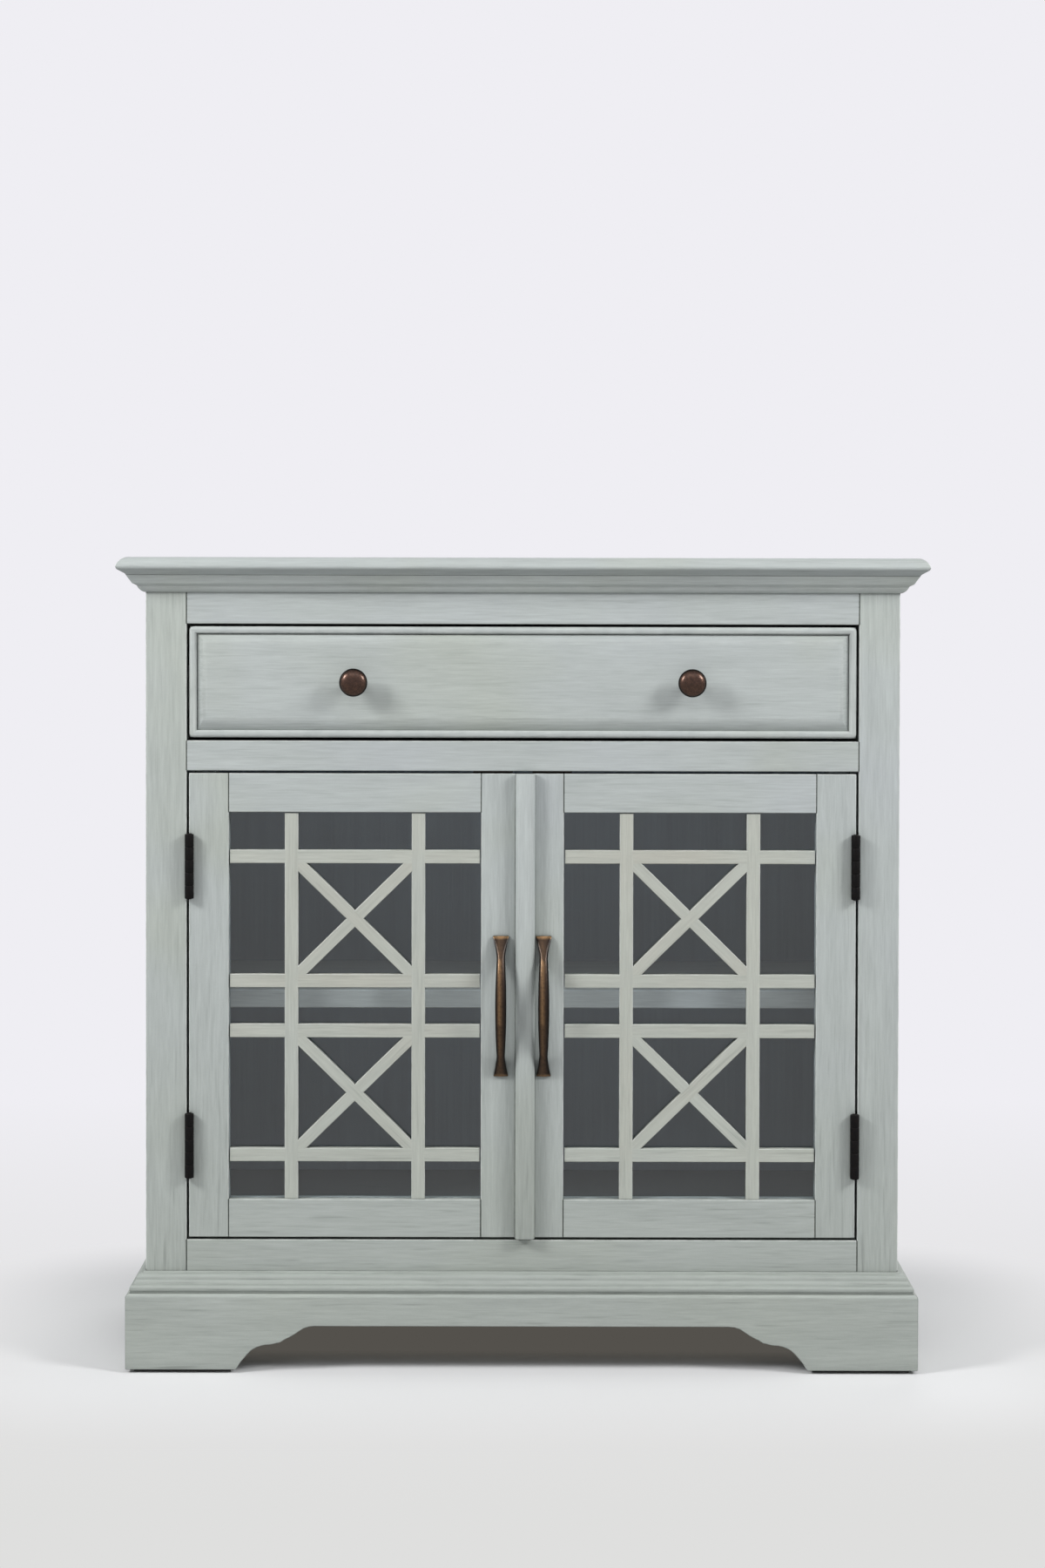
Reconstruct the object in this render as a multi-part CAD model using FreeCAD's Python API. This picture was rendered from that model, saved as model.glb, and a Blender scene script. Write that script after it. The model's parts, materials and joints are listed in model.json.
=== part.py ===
import FreeCAD, Part
import math
import os

os.makedirs("parts", exist_ok=True)

Vector = FreeCAD.Vector

# All sizes are in millimetres. X runs along the width, the front faces -Y, Z is up.
# The origin is on the floor, at the middle of the chest's width and depth.

# Case: width over the posts, depth over the top board
case_width = 758.8
chest_depth = 355.6
post_width = 41.0
post_depth = 41.0

# Heights that show on the front, from the floor up
pad_height = 3.6
plinth_height = 76.0
base_moulding_height = 21.4
bottom_rail_show = 29.8
door_opening_height = 473.6
middle_rail_height = 30.2
drawer_opening_height = 117.6
top_rail_show = 30.8
crown_height = 18.0
top_thickness = 18.0

# Outline points are (across, up), and a third share bends the side that leads there: its rise over half its chord

# Top board: overhangs beyond the posts, and its nose as shares of run and thickness, from a lip below to the top
top_side_overhang = 27.0
top_front_overhang = 27.0
top_back_overhang = 5.0
nose_run = 12.0
nose_outline_shares = (
    (-0.77, 0.0),
    (-0.70, 0.08),
    (-0.115, 0.31),
    (0.0, 0.49, 0.21),
    (-1.0, 1.0, 0.34),
)

# Crown moulding: reach beyond the posts, and its outline as shares of reach and height
crown_reach = 17.6
crown_outline_shares = (
    (0.03, 0.0),
    (0.455, 0.41, 0.27),
    (0.70, 0.54),
    (0.955, 0.93, 0.04),
    (1.0, 1.0),
    (0.0, 1.0),
    (0.0, 0.0),
)

# Base moulding on the plinth, outlined the same way
base_moulding_reach = 14.8
base_outline_shares = (
    (0.90, 0.0),
    (0.90, 0.09),
    (1.0, 0.13),
    (1.0, 0.19),
    (0.78, 0.34, 0.25),
    (0.64, 0.36),
    (0.60, 0.56, 0.15),
    (0.575, 0.575),
    (0.24, 0.85, 0.3),
    (0.20, 0.86),
    (0.12, 1.0),
    (0.0, 1.0),
    (0.0, 0.0),
)

# Plinth boards and the bracket feet cut in them
plinth_thickness = 18.6
plinth_edge_radius = 3.6
quarter_bend_share = 0.4142
apron_rise = 44.0
front_foot_width = 110.6
front_curve_share = 0.276
side_foot_width = 86.0
side_curve_share = 0.73
foot_curve_shares = (
    (0.38, 0.57, 0.28),
    (0.57, 0.64, -0.1),
    (1.0, 1.0, 0.2),
)

# Feet: glue blocks behind the plinth corners, pads under the feet
corner_block_reach = 42.0
pad_length = 97.0
pad_width = 49.0
pad_inset = 8.0

# Rails of the case
front_rail_thickness = 20.4
middle_rail_depth = 45.0
rail_tenon = 15.0
tenon_thickness = 9.0
tenon_shoulder_share = 0.125
bottom_rail_hidden = 40.0
side_rail_thickness = 18.0
back_rail_thickness = 20.0
back_rail_height = 42.0

# Panels and boards inside the case
side_panel_thickness = 10.0
panel_tongue = 6.0
back_panel_thickness = 6.0
back_panel_lap = 12.0
floor_thickness = 15.0
floor_step = 7.8
board_housing = 5.0
dust_panel_thickness = 6.0
dust_panel_rise_share = 0.35
shelf_thickness = 19.0
shelf_setback = 80.0
shelf_height_share = 0.503
shelf_clearance = 1.0

# Shelf pins: peg in the side panel, flat plate under the shelf
pin_radius = 2.5
pin_peg_depth = 7.0
pin_plate_reach = 9.0
pin_plate_width = 10.0
pin_end_distance = 40.0

# Doors
door_thickness = 20.0
door_side_gap = 2.6
door_end_gap = 2.6
meeting_gap = 1.4
meeting_offset = 7.6
hinge_stile_width = 39.8
meeting_stile_reach = 41.6
door_top_rail_height = 39.2
door_bottom_rail_height = 38.3
door_tenon = 12.0
door_tenon_thickness = 4.0

# Glass, its rebate and the beads behind it
glass_depth = 9.0
glass_thickness = 3.0
rebate_width = 8.0
glass_clearance = 1.0
glass_bead_setback = 1.0

# Lattice in front of the glass
lattice_setback = 1.5
lattice_bar_width = 13.5
lattice_diagonal_width = 12.0
lattice_end_gap = 0.8
upright_shares = (0.2486, 0.7514)
crossbar_shares = (0.1146, 0.4354, 0.5646, 0.8854)

# Cover strip over the meeting edges, on the right door
strip_width = 19.6
strip_reach = 10.0
strip_side_height = 2.5
strip_round_width = 4.5
strip_bend_share = 0.27

# Hinges: five knuckles on a pin that stands just in front of the door's edge
hinge_height = 65.0
hinge_end_distance = 93.4
hinge_barrel_radius = 4.5
hinge_barrel_gap = 0.3
hinge_inset = 2.0
hinge_leaf_gap = 0.2
hinge_leaf_depth = 18.0
hinge_knuckles = 5
knuckle_gap = 0.2
hinge_pin_radius = 2.0
hinge_pin_clearance = 0.05
hinge_pin_head_radius = 2.8
hinge_pin_head_height = 0.8
hinge_screw_spread = 22.0

# Bow handles of the doors
handle_offset = 21.5
handle_height_share = 0.503
handle_length = 141.6
handle_end_width = 15.7
handle_neck_width = 8.5
handle_belly_width = 11.1
handle_neck_distance = 17.0
handle_flare_bend_share = 0.25
handle_reach = 25.0
handle_bow_thickness = 6.5
handle_end_thickness = 3.0
handle_foot_length = 14.0
handle_screw_radius = 2.0
handle_screw_grip = 4.0
handle_screw_head_radius = 4.0
handle_screw_head_height = 2.0

# Magnetic catches under the middle rail, and their plates on the doors
catch_width = 40.0
catch_depth = 16.0
catch_height = 13.0
catch_offset = 30.0
catch_gap = 0.3
strike_width = 24.0
strike_height = 10.0
strike_thickness = 1.5
strike_end_distance = 1.8

# Drawer front: bead round the edge, bevel up to the raised field
drawer_side_gap = 2.6
drawer_top_gap = 2.6
drawer_bottom_gap = 3.2
drawer_front_thickness = 20.0
drawer_bead_width = 7.4
drawer_bead_thickness = 7.0
drawer_bead_bend_share = 0.75
field_setback = 0.8
quirk_depth = 3.6
bevel_width = 11.5

# Drawer box
drawer_side_thickness = 12.0
drawer_box_rise = 9.0
drawer_box_headroom = 20.6
drawer_back_gap = 12.6
drawer_bottom_thickness = 5.0
drawer_bottom_rise = 8.0
drawer_groove = 6.0

# Knobs: foot, neck and domed head turned about one axis
knob_spacing = 339.4
knob_reach = 24.0
knob_head_radius = 14.25
knob_neck_radius = 5.0
knob_foot_radius = 7.5
knob_foot_share = 0.14
knob_neck_share = 0.45
knob_rim_share = 0.68
knob_underside_bend_share = 0.12

# Drawer slides: three nested channels on each side
slide_thickness = 12.7
slide_height = 45.0
slide_setback = 2.0
slide_wall = 1.2
slide_gap = 0.3
slide_lip_share = 0.72
slide_screw_shares = (0.15, 0.5, 0.8)
cleat_height = 48.0

# Screws
screw_radius = 1.75
screw_head_radius = 3.2
screw_length = 14.0
top_screw_bite = 12.0
back_screw_count = 5
back_screw_margin = 30.0

# One overrun serves every cut
overrun = 2.0

# Levels and planes that follow from the sizes above
plinth_top = pad_height + plinth_height
base_top = plinth_top + base_moulding_height
door_opening_bottom = base_top + bottom_rail_show
door_opening_top = door_opening_bottom + door_opening_height
drawer_opening_bottom = door_opening_top + middle_rail_height
drawer_opening_top = drawer_opening_bottom + drawer_opening_height
crown_bottom = drawer_opening_top + top_rail_show
case_top = crown_bottom + crown_height
chest_top = case_top + top_thickness

case_half = case_width / 2
inner_half = case_half - post_width
face_y = -chest_depth / 2 + top_front_overhang
back_y = chest_depth / 2 - top_back_overhang
front_post_back = face_y + post_depth
back_post_front = back_y - post_depth
side_inner = case_half - side_rail_thickness
back_panel_front = back_y - back_panel_thickness
rail_bottom = base_top - bottom_rail_hidden
floor_top = door_opening_bottom + floor_step
floor_bottom = floor_top - floor_thickness
door_back = face_y + door_thickness

door_bottom = door_opening_bottom + door_end_gap
door_top = door_opening_top - door_end_gap
door_outer = inner_half - door_side_gap
glazing_outer = door_outer - hinge_stile_width
glazing_bottom = door_bottom + door_bottom_rail_height
glazing_top = door_top - door_top_rail_height
glazing_width = glazing_outer - meeting_stile_reach
glazing_height = glazing_top - glazing_bottom
glass_front = face_y + glass_depth
glass_back = glass_front + glass_thickness
lattice_front = face_y + lattice_setback

hinge_leaf_thickness = (door_side_gap - hinge_leaf_gap) / 2
hinge_gap_x = inner_half - door_side_gap / 2
hinge_x = hinge_gap_x - hinge_inset
hinge_y = face_y - hinge_barrel_radius - hinge_barrel_gap
hinge_levels = (door_bottom + hinge_end_distance, door_top - hinge_end_distance)
handle_level = door_bottom + handle_height_share * (door_top - door_bottom)

drawer_half = inner_half - drawer_side_gap
drawer_bottom_level = drawer_opening_bottom + drawer_bottom_gap
drawer_top_level = drawer_opening_top - drawer_top_gap
drawer_front_back = face_y + drawer_front_thickness
box_half = inner_half - slide_thickness
box_inner_half = box_half - drawer_side_thickness
box_bottom = drawer_opening_bottom + drawer_box_rise
box_top = drawer_opening_top - drawer_box_headroom
box_back = back_panel_front - drawer_back_gap
box_floor_bottom = box_bottom + drawer_bottom_rise
slide_level = (box_bottom + box_top) / 2
slide_front = drawer_front_back + slide_setback
slide_back = box_back - slide_setback


# Box between two values along each axis
def block(x, y, z):
    corner = Vector(min(x), min(y), min(z))
    return Part.makeBox(abs(x[1] - x[0]), abs(y[1] - y[0]), abs(z[1] - z[0]), corner)


def mirrored(shape):
    return shape.mirror(Vector(0, 0, 0), Vector(1, 0, 0))


def both_sides(shapes):
    return list(shapes) + [mirrored(shape) for shape in shapes]


# Closed outline; positive bends lean to the right of the way round
def outline(points, place):
    edges = []
    for before, here in zip(points[-1:] + points[:-1], points):
        bend_share = here[2] if len(here) > 2 else 0
        if bend_share == 0:
            edges.append(Part.LineSegment(place(before), place(here)).toShape())
        else:
            middle = ((before[0] + here[0] + bend_share * (here[1] - before[1])) / 2,
                      (before[1] + here[1] - bend_share * (here[0] - before[0])) / 2)
            edges.append(Part.Arc(place(before), place(middle), place(here)).toShape())
    return Part.Face(Part.Wire(edges))


# Outline given in shares, turned into real sizes
def scaled(shares, width, height):
    return [(point[0] * width, point[1] * height) + tuple(point[2:]) for point in shares]


# Upright prism over a plan, and a flat one over an elevation
def plan_prism(points, z):
    corners = [Vector(x, y, z[0]) for x, y in points]
    return Part.Face(Part.makePolygon(corners + corners[:1])).extrude(Vector(0, 0, z[1] - z[0]))


def elevation_prism(points, y):
    corners = [Vector(x, y[0], z) for x, z in points]
    return Part.Face(Part.makePolygon(corners + corners[:1])).extrude(Vector(0, y[1] - y[0], 0))


# Countersunk screw: the head's flat face is at the given point
def screw(point, direction, length, radius=screw_radius, head_radius=screw_head_radius):
    head_height = head_radius - radius
    head = Part.makeCone(head_radius, radius, head_height, point, direction)
    return head.fuse(Part.makeCylinder(radius, length, point, direction)).removeSplitter()


def save(node, solids):
    shape = solids[0] if len(solids) == 1 else Part.makeCompound(solids)
    shape.exportStep("parts/" + node + ".step")


def solids_of(shape):
    return shape.Solids


# Front length and two side lengths of one section that wraps the case, mitred at the front corners
def wrapped_lengths(points, reach, bottom, top):
    front_section = outline(points, lambda p: Vector(-case_half - reach, face_y - p[0], bottom + p[1]))
    front_plan = [
        (-case_half, face_y),
        (-case_half - reach, face_y - reach),
        (case_half + reach, face_y - reach),
        (case_half, face_y),
    ]
    front = front_section.extrude(Vector(2 * (case_half + reach), 0, 0))
    front = front.common(plan_prism(front_plan, (bottom, top)))
    side_section = outline(points, lambda p: Vector(-case_half - p[0], face_y - reach, bottom + p[1]))
    side_plan = [
        (-case_half, face_y),
        (-case_half - reach, face_y - reach),
        (-case_half - reach, back_y),
        (-case_half, back_y),
    ]
    left = side_section.extrude(Vector(0, back_y - face_y + reach, 0))
    left = left.common(plan_prism(side_plan, (bottom, top)))
    return [front.Solids[0], left.Solids[0], mirrored(left.Solids[0])]


# Four mitred lengths round a rectangle; the section is (distance inwards, distance forwards)
def mitred_frame(x, z, width, points, back):
    centre_x = (x[0] + x[1]) / 2
    centre_z = (z[0] + z[1]) / 2
    lengths = []
    for turn, run, foot in (
        (0, x[1] - x[0], Vector(centre_x, 0, z[0])),
        (90, z[1] - z[0], Vector(x[0], 0, centre_z)),
        (180, x[1] - x[0], Vector(centre_x, 0, z[1])),
        (-90, z[1] - z[0], Vector(x[1], 0, centre_z)),
    ):
        section = outline(points, lambda p: Vector(-run / 2, back - p[1], p[0]))
        length = section.extrude(Vector(run, 0, 0))
        depth = (length.BoundBox.YMin, length.BoundBox.YMax)
        plan = [(-run / 2, 0), (run / 2, 0), (run / 2 - width, width), (width - run / 2, width)]
        length = length.common(elevation_prism(plan, depth)).Solids[0]
        length.rotate(Vector(0, 0, 0), Vector(0, 1, 0), turn)
        length.translate(foot)
        lengths.append(length)
    return lengths


# Top board: one section runs along the width, one along the depth, and the board is what they share
def top_board():
    nose = scaled(nose_outline_shares, nose_run, top_thickness)
    half = case_half + top_side_overhang
    far_side = [(nose_run - 2 * half, top_thickness)]
    for before, here in reversed(list(zip(nose, nose[1:]))):
        far_side.append((-before[0] - 2 * half, before[1]) + here[2:])
    back_edge = [(-chest_depth, top_thickness), (-chest_depth, 0)]
    front = -chest_depth / 2
    long_section = outline(nose + back_edge, lambda p: Vector(-half, front - p[0], case_top + p[1]))
    long_board = long_section.extrude(Vector(2 * half, 0, 0))
    cross_section = outline(nose + far_side, lambda p: Vector(-half - p[0], front, case_top + p[1]))
    return long_board.common(cross_section.extrude(Vector(0, chest_depth, 0)))


def crown_moulding():
    points = scaled(crown_outline_shares, crown_reach, crown_height)
    return wrapped_lengths(points, crown_reach, crown_bottom, case_top)


def base_moulding():
    points = scaled(base_outline_shares, base_moulding_reach, base_moulding_height)
    return wrapped_lengths(points, base_moulding_reach, plinth_top, base_top)


# Bracket cut-out between two feet, in (distance from its middle, height over the plinth's foot)
def foot_cut(half, curve_width, place, across):
    curve = scaled(foot_curve_shares, curve_width, apron_rise)
    rising = [(half, 0)] + [(half - point[0],) + point[1:] for point in curve]
    falling = [(-half + curve_width, apron_rise)]
    for before, here in reversed(list(zip([(0, 0)] + curve, curve))):
        falling.append((before[0] - half, before[1]) + here[2:])
    return outline(rising + falling + [(-half, -overrun), (half, -overrun)], place).extrude(across)


# Plinth boards: front, left and right
def plinth_boards():
    points = [
        (0, 0),
        (plinth_thickness, 0),
        (plinth_thickness, plinth_height - plinth_edge_radius),
        (plinth_thickness - plinth_edge_radius, plinth_height, quarter_bend_share),
        (0, plinth_height),
    ]
    front, left, right = wrapped_lengths(points, plinth_thickness, pad_height, plinth_top)
    front_half = case_half + plinth_thickness - front_foot_width
    across_front = Vector(0, plinth_thickness + 2 * overrun, 0)
    front_place = lambda p: Vector(p[0], face_y - plinth_thickness - overrun, pad_height + p[1])
    front = front.cut(foot_cut(front_half, front_curve_share * front_half, front_place, across_front))
    side_front = face_y - plinth_thickness
    side_half = (back_y - side_front) / 2 - side_foot_width
    side_middle = (back_y + side_front) / 2
    across_side = Vector(plinth_thickness + 2 * overrun, 0, 0)
    side_place = lambda p: Vector(-case_half - plinth_thickness - overrun, side_middle + p[0], pad_height + p[1])
    side_cut = foot_cut(side_half, side_curve_share * side_half, side_place, across_side)
    return front, left.cut(side_cut), right.cut(mirrored(side_cut))


# Triangular glue blocks beside the posts: two at each front corner, one at each back corner
def corner_blocks():
    top = rail_bottom
    reach = corner_block_reach
    behind_front = [(inner_half, face_y), (inner_half - reach, face_y), (inner_half, face_y + reach)]
    behind_side = [(case_half, front_post_back), (case_half, front_post_back + reach),
                   (case_half - reach, front_post_back)]
    at_back = [(case_half, back_post_front), (case_half, back_post_front - reach),
               (case_half - reach, back_post_front)]
    blocks = [plan_prism(plan, (pad_height, top)) for plan in (behind_front, behind_side, at_back)]
    return both_sides(blocks)


def foot_pads():
    outer = case_half + plinth_thickness - pad_inset
    front = face_y - plinth_thickness + pad_inset
    front_pad = block((outer - pad_length, outer), (front, front + pad_width), (0, pad_height))
    back_pad = block((outer - pad_width, outer), (back_y - pad_length, back_y), (0, pad_height))
    return both_sides([front_pad, back_pad])


# Rail across the front, with a tenon into each post
def front_rail(depth, z):
    rail = block((-inner_half, inner_half), (face_y, face_y + depth), z)
    tenon_y = face_y + (front_rail_thickness - tenon_thickness) / 2
    shoulder = tenon_shoulder_share * (z[1] - z[0])
    tenon = block((-inner_half - rail_tenon, inner_half + rail_tenon), (tenon_y, tenon_y + tenon_thickness),
                  (z[0] + shoulder, z[1] - shoulder))
    return rail.fuse(tenon).removeSplitter()


# Side rails, flush with the posts outside
def side_rails():
    rails = []
    for z in ((rail_bottom, door_opening_bottom), (drawer_opening_top, case_top)):
        rail = block((side_inner, case_half), (front_post_back, back_post_front), z)
        middle = (side_inner + case_half) / 2
        shoulder = tenon_shoulder_share * (z[1] - z[0])
        tenon = block((middle - tenon_thickness / 2, middle + tenon_thickness / 2),
                      (front_post_back - rail_tenon, back_post_front + rail_tenon),
                      (z[0] + shoulder, z[1] - shoulder))
        rails.append(rail.fuse(tenon).removeSplitter())
    return both_sides(rails)


# Side panel with its tongue in the posts and rails
def side_panel():
    return block((side_inner, side_inner + side_panel_thickness),
                 (front_post_back - panel_tongue, back_post_front + panel_tongue),
                 (door_opening_bottom - panel_tongue, drawer_opening_top + panel_tongue))


def back_panel():
    half = inner_half + back_panel_lap
    return block((-half, half), (back_panel_front, back_y), (floor_bottom - back_rail_height, case_top))


def back_rails():
    rails = []
    for z in ((floor_bottom - back_rail_height, floor_bottom), (case_top - back_rail_height, case_top)):
        rails.append(block((-inner_half, inner_half), (back_panel_front - back_rail_thickness, back_panel_front), z))
    return rails


# Boards that fill the case from side to side, notched round the posts and housed in the sides
def case_board(front, thickness, bottom, posts):
    half = side_inner + board_housing
    board = block((-half, half), (front, back_panel_front), (bottom, bottom + thickness))
    return board.cut(posts)


# Loose shelf, clear of the sides, the back and the back posts
def shelf():
    half = side_inner - shelf_clearance
    bottom = shelf_top() - shelf_thickness
    board = block((-half, half), (face_y + shelf_setback, back_panel_front - shelf_clearance),
                  (bottom, bottom + shelf_thickness))
    notch = block((inner_half - shelf_clearance, side_inner + overrun),
                  (back_post_front - shelf_clearance, back_y), (bottom - overrun, bottom + shelf_thickness + overrun))
    return board.cut([notch, mirrored(notch)])


def shelf_top():
    return floor_top + shelf_height_share * (door_opening_top - floor_top)


def shelf_pins():
    top = shelf_top() - shelf_thickness
    axis_level = top - pin_radius
    pins = []
    for y in (face_y + shelf_setback + pin_end_distance, back_post_front - pin_end_distance):
        plate = block((side_inner - pin_plate_reach, side_inner),
                      (y - pin_plate_width / 2, y + pin_plate_width / 2), (axis_level, top))
        peg = Part.makeCylinder(pin_radius, pin_plate_reach + pin_peg_depth,
                                Vector(side_inner - pin_plate_reach, y, axis_level), Vector(1, 0, 0))
        pins.append(plate.fuse(peg).removeSplitter())
    return both_sides(pins)


# Cleats that bring the slides flush with the posts
def runner_cleats():
    cleat = block((inner_half, side_inner), (front_post_back, back_post_front),
                  (slide_level - cleat_height / 2, slide_level + cleat_height / 2))
    return both_sides([cleat])


# Channel along Y: web on the side given first, lips towards the other side
def slide_channel(web_x, lip_x, half_height):
    y = (slide_front, slide_back)
    towards = 1 if lip_x > web_x else -1
    body = block((web_x, lip_x), y, (slide_level - half_height, slide_level + half_height))
    hollow = block((web_x + towards * slide_wall, lip_x + towards * overrun),
                   (slide_front - overrun, slide_back + overrun),
                   (slide_level - half_height + slide_wall, slide_level + half_height - slide_wall))
    return body.cut(hollow)


# Outer, middle and inner channel of the right-hand slide
def slide_channels():
    lip = slide_lip_share * slide_thickness
    outer_half = slide_height / 2
    middle_half = outer_half - slide_wall - slide_gap
    inner_half_height = middle_half - slide_wall - slide_gap
    outer = slide_channel(inner_half, inner_half - lip, outer_half)
    middle_web = inner_half - slide_wall - slide_gap
    middle = slide_channel(middle_web, middle_web - lip, middle_half)
    inner = slide_channel(box_half, middle_web - slide_wall - slide_gap, inner_half_height)
    return outer, middle, inner


# Screws through the outer channels into cleats, and through the inner ones into the drawer sides
def slide_screws():
    outer_screws = []
    inner_screws = []
    for share in slide_screw_shares:
        y = slide_front + share * (slide_back - slide_front)
        outer_point = Vector(inner_half - slide_wall, y, slide_level)
        outer_screws.append(screw(outer_point, Vector(1, 0, 0), screw_length))
        inner_point = Vector(box_half + slide_wall, y, slide_level)
        inner_screws.append(screw(inner_point, Vector(-1, 0, 0), drawer_side_thickness))
    return both_sides(outer_screws), both_sides(inner_screws)


# Screws up through the top rails into the top board, and through the back panel into its frame
def case_screws():
    screws = []
    length = case_top - drawer_opening_top + top_screw_bite
    for x in (-inner_half / 2, 0, inner_half / 2):
        screws.append(screw(Vector(x, face_y + front_rail_thickness / 2, drawer_opening_top), Vector(0, 0, 1), length))
    back_rail_y = back_panel_front - back_rail_thickness / 2
    for x in (-inner_half / 2, inner_half / 2):
        screws.append(screw(Vector(x, back_rail_y, case_top - back_rail_height), Vector(0, 0, 1),
                            back_rail_height + top_screw_bite))
    low = floor_bottom - back_rail_height / 2
    high = case_top - back_rail_height / 2
    edge_x = inner_half + back_panel_lap / 2
    for index in range(back_screw_count):
        share = index / (back_screw_count - 1)
        z = low + back_screw_margin + share * (high - low - 2 * back_screw_margin)
        screws += both_sides([screw(Vector(edge_x, back_y, z), Vector(0, -1, 0), screw_length + back_panel_thickness)])
        x = (2 * share - 1) * (inner_half - back_screw_margin)
        for level in (low, high):
            screws.append(screw(Vector(x, back_y, level), Vector(0, -1, 0), screw_length))
    return screws


# Catch bodies hang under the middle rail, just behind the strike plates
def door_catches():
    front = door_back + strike_thickness + catch_gap
    body = block((catch_offset - catch_width / 2, catch_offset + catch_width / 2),
                 (front, front + catch_depth), (door_opening_top - catch_height, door_opening_top))
    return both_sides([body])


def catch_screws():
    y = door_back + strike_thickness + catch_gap + catch_depth / 2
    screws = []
    for x in (catch_offset - catch_width / 4, catch_offset + catch_width / 4):
        screws.append(screw(Vector(x, y, door_opening_top - catch_height), Vector(0, 0, 1), catch_height + screw_length))
    return both_sides(screws)


# One leaf of the right-hand hinge with its own knuckles; side is +1 for the post's leaf, -1 for the door's
def hinge_leaf(level, side, own_knuckles):
    bottom = level - hinge_height / 2
    knuckle = hinge_height / hinge_knuckles
    outer_x = hinge_gap_x + side * door_side_gap / 2
    inner_x = outer_x - side * hinge_leaf_thickness
    leaf = block((inner_x, outer_x), (face_y, face_y + hinge_leaf_depth), (bottom, bottom + hinge_height))
    bore_radius = hinge_pin_radius + hinge_pin_clearance
    for index in own_knuckles:
        low = bottom + index * knuckle + knuckle_gap / 2
        high = bottom + (index + 1) * knuckle - knuckle_gap / 2
        barrel = Part.makeCylinder(hinge_barrel_radius, high - low, Vector(hinge_x, hinge_y, low))
        wrap = block((inner_x, outer_x), (hinge_y, face_y + hinge_leaf_depth), (low, high))
        leaf = leaf.fuse([barrel, wrap])
    bore = Part.makeCylinder(bore_radius, hinge_height + 2 * overrun, Vector(hinge_x, hinge_y, bottom - overrun))
    return leaf.cut(bore).removeSplitter()


def hinge_pin(level):
    bottom = level - hinge_height / 2
    top = bottom + hinge_height
    pin = Part.makeCylinder(hinge_pin_radius, hinge_height, Vector(hinge_x, hinge_y, bottom))
    low_head = Part.makeCylinder(hinge_pin_head_radius, hinge_pin_head_height,
                                 Vector(hinge_x, hinge_y, bottom + knuckle_gap / 2 - hinge_pin_head_height))
    high_head = Part.makeCylinder(hinge_pin_head_radius, hinge_pin_head_height,
                                  Vector(hinge_x, hinge_y, top - knuckle_gap / 2))
    return pin.fuse([low_head, high_head]).removeSplitter()


# Screws of one right-hand hinge: into the post, and into the door's edge
def hinge_screws(level):
    y = face_y + hinge_leaf_depth / 2
    post_screws = []
    door_screws = []
    for rise in (-hinge_screw_spread, 0, hinge_screw_spread):
        post_point = Vector(inner_half - hinge_leaf_thickness, y, level + rise)
        post_screws.append(screw(post_point, Vector(1, 0, 0), screw_length))
        door_point = Vector(door_outer + hinge_leaf_thickness, y, level + rise)
        door_screws.append(screw(door_point, Vector(-1, 0, 0), screw_length))
    return post_screws, door_screws


# Space behind the glazing opening of the right door, for the glass and its beads
def glass_pocket():
    return block((meeting_stile_reach - rebate_width, glazing_outer + rebate_width), (glass_front, door_back + overrun),
                 (glazing_bottom - rebate_width, glazing_top + rebate_width))


# Door rails with stub tenons in front of the rebate
def door_rails():
    rails = []
    tenon_y = face_y + (glass_depth - door_tenon_thickness) / 2
    for z in ((glazing_top, door_top), (door_bottom, glazing_bottom)):
        rail = block((meeting_stile_reach, glazing_outer), (face_y, door_back), z)
        shoulder = tenon_shoulder_share * (z[1] - z[0])
        tenon = block((meeting_stile_reach - door_tenon, glazing_outer + door_tenon),
                      (tenon_y, tenon_y + door_tenon_thickness), (z[0] + shoulder, z[1] - shoulder))
        rails.append(rail.fuse(tenon).cut(glass_pocket()).removeSplitter())
    return rails


# Stiles of the right door; the meeting edge lies left of the chest's middle, or right of it in the mirrored door
def door_stiles(meeting_edge, rails):
    hinge_stile = block((glazing_outer, door_outer), (face_y, door_back), (door_bottom, door_top))
    meeting_stile = block((meeting_edge, meeting_stile_reach), (face_y, door_back), (door_bottom, door_top))
    return [stile.cut([glass_pocket()] + rails) for stile in (hinge_stile, meeting_stile)]


# Lattice: uprights and crossbars lapped at half depth, and two bars crossed in each square field
def lattice():
    middle_y = (lattice_front + glass_front) / 2
    back_half = block((0, glazing_outer + rebate_width), (middle_y, glass_front), (glazing_bottom, glazing_top))
    front_half = block((0, glazing_outer + rebate_width), (lattice_front, middle_y), (glazing_bottom, glazing_top))
    depth = (lattice_front, glass_front)
    bar_half = lattice_bar_width / 2
    columns = [meeting_stile_reach + share * glazing_width for share in upright_shares]
    rows = [glazing_bottom + share * glazing_height for share in crossbar_shares]
    uprights = [block((x - bar_half, x + bar_half), depth,
                      (glazing_bottom, glazing_top - lattice_end_gap)) for x in columns]
    crossbars = [block((meeting_stile_reach + lattice_end_gap, glazing_outer - lattice_end_gap), depth,
                       (z - bar_half, z + bar_half)) for z in rows]
    lapped = [bar.cut([other.common(back_half) for other in crossbars]) for bar in uprights]
    lapped += [bar.cut([other.common(front_half) for other in uprights]) for bar in crossbars]
    field_x = (columns[0] + bar_half, columns[1] - bar_half)
    for low_row, high_row in zip(rows[::2], rows[1::2]):
        lapped += crossed_bars(field_x, (low_row + bar_half, high_row - bar_half), depth, back_half, front_half)
    return lapped


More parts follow.
